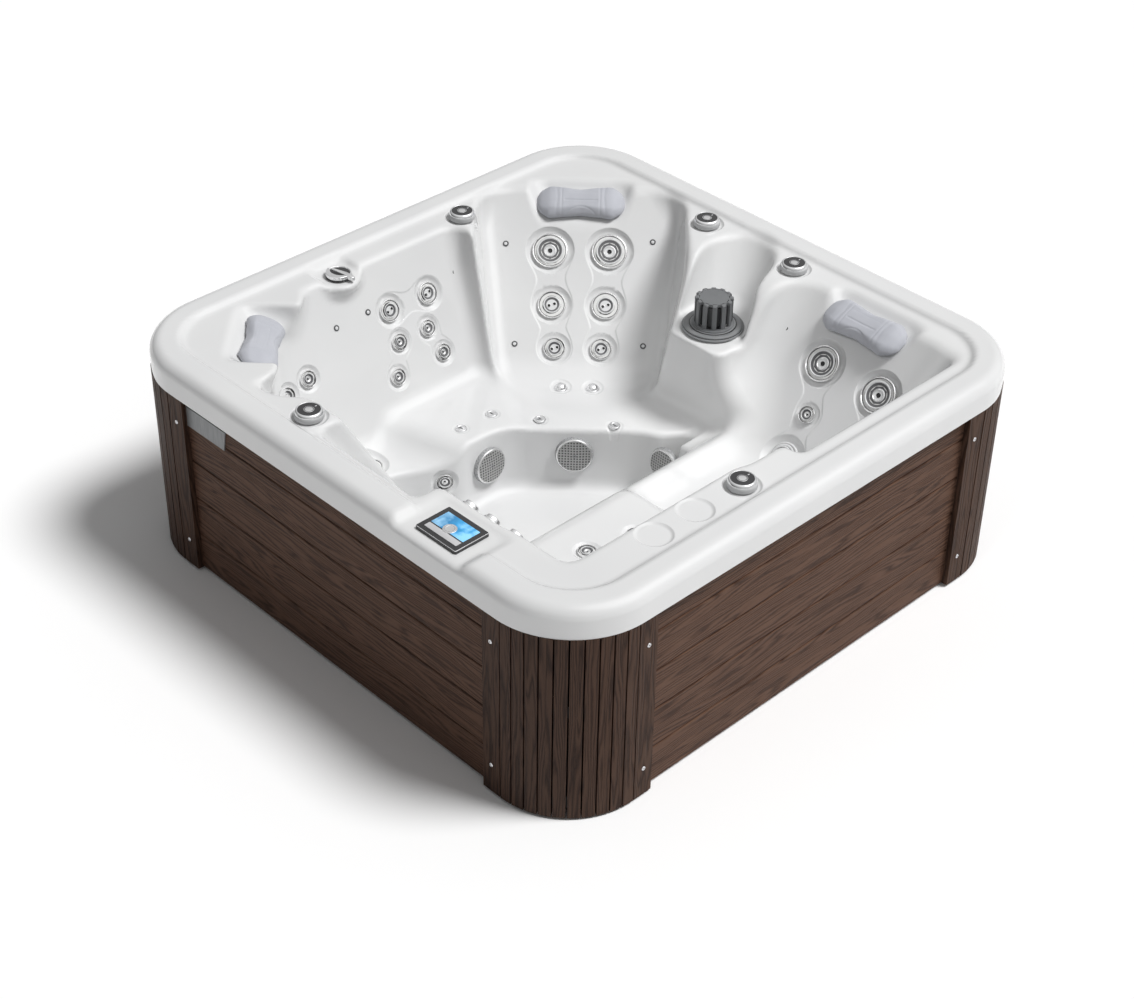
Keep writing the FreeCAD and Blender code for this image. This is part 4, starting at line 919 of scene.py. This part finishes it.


# ---------------------------------------------------------------- filter
# A near-black core inside the basket, seen between its bars, is painted shade in the hollow.
basket_shade_core = finish("basket_painted_shade", (0.035, 0.036, 0.038), (0.06, 0.061, 0.063), (0.4, 0.6), 0.0, 70, 0.1)
flange = Solid()
rows = [(104, -4), (108.5, 0.3), (109.5, 4.0), (108.2, 6.2), (103.0, 7.0, 1), (101.5, 7.6, 1), (103.5, 9.0),
    (103.0, 13.0), (99.0, 15.4), (92.0, 16.0), (86.0, 15.2), (83.0, 12.6, 1), (80.5, 12.4, 1), (79.4, 15.0),
    (75.5, 15.9), (69.6, 15.6), (68.2, 13.5), (68.0, 4.0), (68.0, -30.0)]
flange.add(*lathe(rows, 96, 0.8))
flange_grey = finish("flange_grey", (0.185, 0.19, 0.195), (0.235, 0.24, 0.245), (0.3, 0.42), 0.0, 90, 0.08, 0.0003)
set_in(flange, "flange_detail", filter_place, UP, [flange_grey, black], "tub", "dark_grey", ["filter_flange"])


basket = Solid()
rows = [(63, -30.8), (67, -30.8), (67, 16.4), (74.4, 16.4), (74.8, 18.6), (73.6, 20.2), (67, 20.6), (66.4, 25.0),
    (63, 25.0), (63, -30.8)]
basket.add(*lathe(rows, 96, 0.6))
for k in range(12):
    middle = 2 * pi * (k + 0.5) / 12
    half_bar = 2 * pi / 12 * 0.24
    basket.add(*arc_block(57.0, 66.6, middle - half_bar, middle + half_bar, 22.0, 112.0, 4))


def castle(a, r, z):
    """Pulls the lid edge in between the posts, so that it reads as a notched crown."""
    notch = step(np.array([(cos(12 * (a - pi / 12)) + 0.35) / 0.5]))[0]
    return -0.16 * (1 - notch) if r > 56 else 0.0


basket.add(*lathe([(0, 104), (50, 104), (62.5, 106), (67.2, 109), (67.2, 114.0), (64.0, 117.6), (55.5, 118.4),
    (52.5, 116.6, 1), (50.5, 117.6), (14, 119.6), (0, 119.8)], 192, 0.8, castle))
# Near-black core inside the bars: painted shade.
basket.add(*lathe([(0, 24, 2), (52, 24, 2), (50, 100, 2), (0, 100, 2)], 48, 0.8))
set_in(basket, "basket_detail", filter_place, UP, [dark_grey, black, basket_shade_core], "basket", "dark_grey",
    ["skimmer_basket"])


# ---------------------------------------------------------------- control panel
def round_rect(width, depth, radius, cx=0.0, cy=0.0, steps=6):
    ring = []
    for sx, sy, start in ((1, 1, 0), (-1, 1, 90), (-1, -1, 180), (1, -1, 270)):
        for s in range(steps + 1):
            a = radians(start + 90 * s / steps)
            ring.append((cx + sx * (width / 2 - radius) + radius * cos(a),
                cy + sy * (depth / 2 - radius) + radius * sin(a)))
    return ring


display = Solid()
display.add(*slab(round_rect(175, 132, 5), 0, 9.5, 1.0, (0, 0)))
display.add(*slab(round_rect(173.5, 130.5, 4.5), 9.0, 12.0, 0.7, (3, 0)))
display.add(*slab(round_rect(146, 103, 2), 11.0, 12.3, 0.3, (0, 0)))
display.add(*slab(round_rect(138, 68, 1, 0, 13), 11.0, 12.6, 0.2, (1, 1)))
display.add(*slab(round_rect(138, 22, 1, 0, -37), 11.0, 12.6, 0.2, (2, 2)))
grey_glass = finish("grey_glass", (0.42, 0.42, 0.43), (0.56, 0.56, 0.57), (0.08, 0.16), 0.0, 30, 0.02, 0.0002,
    coat=0.5)
set_in(display, "panel_detail", panel_place, UP, [black, glow, grey_glass, steel], "tub", "panel_black",
    ["control_panel"])
dial = Solid()
dial.add(*lathe([(0, 12.0), (22, 12.0), (22.4, 12.8), (21.2, 13.6), (19.6, 13.2, 1), (17.8, 13.2, 1), (16.6, 13.8),
    (14.5, 13.8), (13.2, 13.2, 1), (0, 13.0, 1)], 64, 0.3))
set_in(dial, "panel_dial", panel_place + Vector((-4, -6, 0)), UP, [steel, skirt_grey], "tub", "panel_black")


# ---------------------------------------------------------------- screws and badge
screws = Solid()
for quarter in range(4):
    spin = Matrix.Rotation(radians(90 * quarter), 3, "Z")
    for x in (-752.0, 752.0):
        for z in (114.0, 592.0):
            rows = [(0, -0.5), (7.3, -0.5), (7.5, 0.8), (6.6, 2.2), (4.6, 3.0), (3.2, 3.1), (2.8, 1.6, 1),
                (0, 1.5, 1)]
            screws.add(*lathe(rows, 28, 0.3), spin @ Vector((x, -1071.5, z)), spin @ Vector((0, -1, 0)))
put("screws_detail", screws.mesh("screws_detail"), [steel, black], "tub", "steel", ["post_screws"])

plate = Solid()
corners = [(-742.0, 664.0), (-742.0, 588.0), (-523.0, 588.0), (-508.0, 664.0)]
middle_x, middle_z = sum(c[0] for c in corners) / 4, sum(c[1] for c in corners) / 4
for near_y, far_y, inset in ((-1050.2, -1053.6, 0.0), (-1053.6, -1054.8, 1.2)):
    near = [(x, near_y, z) for x, z in corners]
    far = [(x + inset * (1 if x < middle_x else -1), far_y, z + inset * (1 if z < middle_z else -1)) for x,
        z in corners]
    plate.add(near + far, [(0, 1, 5, 4), (1, 2, 6, 5), (2, 3, 7, 6), (3, 0, 4, 7), (4, 5, 6, 7), (3, 2, 1, 0)],
        [0] * 6)
plate_grey = finish("plate_grey", (0.2, 0.206, 0.21), (0.245, 0.25, 0.255), (0.34, 0.48), 0.25, 160, 0.06, 0.0003,
    stretch=(8, 1, 1))
put("bare_plate", plate.mesh("bare_plate"), [plate_grey], "tub", "steel")


# ---------------------------------------------------------------- cushions
def move_points(mesh, points):
    for v, p in zip(mesh.vertices, points.tolist()):
        v.co = p


def pillow_mesh(name, place):
    """Soft cushion puffed out from the CAD form, then marked with its seam lines."""
    mesh = frame["nodes"][name].data.copy()
    mesh.materials.clear()
    ob = link_new(name + "_soft", mesh)
    heading, reach, along = place
    axis, side = -outward(heading, PILLOW_LEAN), turn(heading - 90)
    point = turn(heading) * (reach * HALF) + side * (along * HALF) + UP * PILLOW_LEVEL
    matrix = frame_of(point + axis * 0.3, axis, side)
    matrix.translation *= MM
    mesh.transform(matrix.inverted())
    move, length_share = PILLOW_MOVE.get(place, (0.0, 1.0))
    matrix = matrix @ Matrix.Translation((move * HALF * MM, 0, 0)) @ Matrix.Diagonal((length_share, 1, 1, 1))
    for v in mesh.vertices:
        share = abs(v.co.x) / 0.33
        had = np.interp(share, [0, 0.18, 0.36, 0.46, 0.5], [0.38, 0.455, 0.5, 0.42, 0.27])
        want = np.interp(share, [0, 0.14, 0.26, 0.34, 0.39, 0.43, 0.46, 0.48, 0.5],
            [0.4, 0.425, 0.47, 0.475, 0.445, 0.385, 0.31, 0.24, 0.14])
        v.co.y *= want / had
        v.co.z = 0.0008 + v.co.z * 0.84
    remesh = ob.modifiers.new("even", "REMESH")
    remesh.mode = "VOXEL"
    remesh.voxel_size = 0.0055
    bpy.context.view_layer.objects.active = ob
    bpy.ops.object.modifier_apply(modifier="even")
    rest = np.array([v.co for v in ob.data.vertices])
    cloth = ob.modifiers.new("puff", "CLOTH")
    settings = cloth.settings
    settings.use_pressure, settings.uniform_pressure_force, settings.effector_weights.gravity = True, 4.0, 0.0
    settings.quality, settings.bending_stiffness = 5, 2.0
    settings.tension_stiffness, settings.compression_stiffness = 25, 25
    cloth.point_cache.frame_start, cloth.point_cache.frame_end = 1, 20
    for moment in range(1, 21):
        scene.frame_set(moment)
    shaped = ob.evaluated_get(bpy.context.evaluated_depsgraph_get()).to_mesh()
    moved = np.array([v.co for v in shaped.vertices]) - rest
    ob.modifiers.remove(cloth)
    scene.frame_set(1)
    size = np.linalg.norm(moved, axis=1)
    moved *= np.minimum(1, 0.006 / np.maximum(size, 1e-9))[:, None]
    rest = rest + moved
    rest[:, 2] = np.maximum(rest[:, 2], 0.0004)
    move_points(ob.data, rest)
    bm = bmesh.new()
    bm.from_mesh(ob.data)
    for _ in range(6):
        bmesh.ops.smooth_vert(bm, verts=bm.verts, factor=0.5, use_axis_x=True, use_axis_y=True, use_axis_z=True)
    top = [e for e in bm.edges if min(v.co.z for v in e.verts) > 0.012]
    bmesh.ops.subdivide_edges(bm, edges=top, cuts=1, use_grid_fill=True)
    bm.to_mesh(ob.data)
    bm.free()
    co = np.array([v.co for v in ob.data.vertices])
    x, y, z = co[:, 0], co[:, 1], co[:, 2]
    bow = 0.55 * np.abs(x) ** 2 / 0.068
    frame_line = np.maximum(np.abs(x) - 0.068, np.maximum(y - 0.05 - bow * 0.5, -y - 0.034 - bow))
    dip = 0.0016 * np.exp(-((frame_line - 0.002) / 0.0026) ** 2)
    dip = dip - 0.001 * np.exp(-((frame_line - 0.008) / 0.004) ** 2)
    inside = step((0.064 - np.abs(x)) / 0.008)
    for line, deep in ((0.034, 0.0008), (0.026, 0.0008), (-0.01, 0.0022)):
        dip = np.maximum(dip, deep * np.exp(-((y - line) / 0.0028) ** 2) * inside)
    dip = np.maximum(dip, 0.0012 * np.exp(-((np.abs(x) - 0.084 - 0.1 * np.abs(y)) / 0.005) ** 2))
    co[:, 2] = z - np.where(z > 0.02, dip, 0)
    move_points(ob.data, co)
    shade_smooth(ob.data)
    ob.data.transform(matrix)
    ob.data.materials.append(foam)
    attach(ob, "tub")
    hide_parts(name)


for name, place in PILLOWS.items():
    pillow_mesh(name, place)


# ---------------------------------------------------------------- floor, light and camera
floor_mesh = bpy.data.meshes.new("floor")
floor_mesh.from_pydata([(-30, -30, -0.001), (30, -30, -0.001), (30, 30, -0.001), (-30, 30, -0.001)], [],
    [(0, 1, 2, 3)])
floor_mesh.materials.append(finish("floor_white", (0.97, 0.97, 0.97), (0.975, 0.975, 0.975), (0.9, 1.0), 0.0, 2.0,
    0.0))
link_new("floor", floor_mesh)

world = bpy.data.worlds.new("soft_sky")
scene.world = world
world.use_nodes = True
tree = world.node_tree
tree.nodes.clear()
coords = node(tree, "TexCoord").outputs["Generated"]


def facing(direction):
    return node(tree, "VectorMath", {0: coords, 1: direction}, operation="DOT_PRODUCT").outputs["Value"]


# The sky is brightest towards the sun. Glossy rays see it brighter, with a soft bright patch in it.
rays = node(tree, "LightPath").outputs
dome = span(tree, facing((0.22, 0.17, 0.62)), 0.03, 0.34, -0.3, 0.68)
box = span(tree, facing((0.397, 0.311, 0.863)), 0.0, 1.5, 0.84, 0.95)
gloss_sky = node(tree, "Math", {0: dome, 1: 3.0, 2: box}, operation="MULTIPLY_ADD").outputs[0]
sky = node(tree, "Mix", {"Factor": rays["Is Glossy Ray"], "A": dome, "B": gloss_sky}).outputs["Result"]
grey_sky = node(tree, "CombineColor", {"Red": sky, "Green": sky, "Blue": sky}).outputs[0]
soft, white = [node(tree, "Background", {"Color": colour, "Strength": 1.0}).outputs[0] for colour in (grey_sky,
    (1, 1, 1, 1))]
seen = node(tree, "Math", {0: rays["Is Camera Ray"], 1: rays["Is Transmission Ray"]},
    operation="MAXIMUM").outputs[0]
node(tree, "OutputWorld", {"Surface": node(tree, "MixShader", {0: seen, 1: soft, 2: white}).outputs[0]})


def lamp(name, kind, direction, **settings):
    data = bpy.data.lights.new(name, kind)
    for key, value in settings.items():
        setattr(data, key, value)
    ob = link_new(name, data)
    ob.rotation_euler = Vector(direction).to_track_quat("-Z", "Y").to_euler()
    ob.visible_glossy = False
    return ob


lamp("key_sun", "SUN", (-0.46, -0.36, -1.0), energy=2.95, angle=radians(19))
fill_place = Vector((1.2, -2.0, 3.4))
fill = lamp("seat_fill", "SPOT", Vector((0.28, 0.55, 0.48)) - fill_place, energy=130.0, spot_size=radians(25),
    spot_blend=0.8, shadow_soft_size=0.5)
fill.location = fill_place

# The camera is the one fitted to the photograph.
camera_data = bpy.data.cameras.new("camera")
camera_data.sensor_width, camera_data.lens = 36.0, 69.684
camera_data.clip_end = 100.0
camera = link_new("camera", camera_data)
right = Vector((0.69441, 0.71945, 0.01399))
down = Vector((0.43535, -0.40456, -0.80424))
ahead = Vector((-0.57295, 0.56456, -0.59414))
pose = Matrix((right, -down, -ahead)).transposed().to_4x4()
pose.translation = Vector((4.3029, -4.2739, 4.6275))
camera.matrix_world = pose
scene.camera = camera
scene.view_settings.view_transform = "Standard"
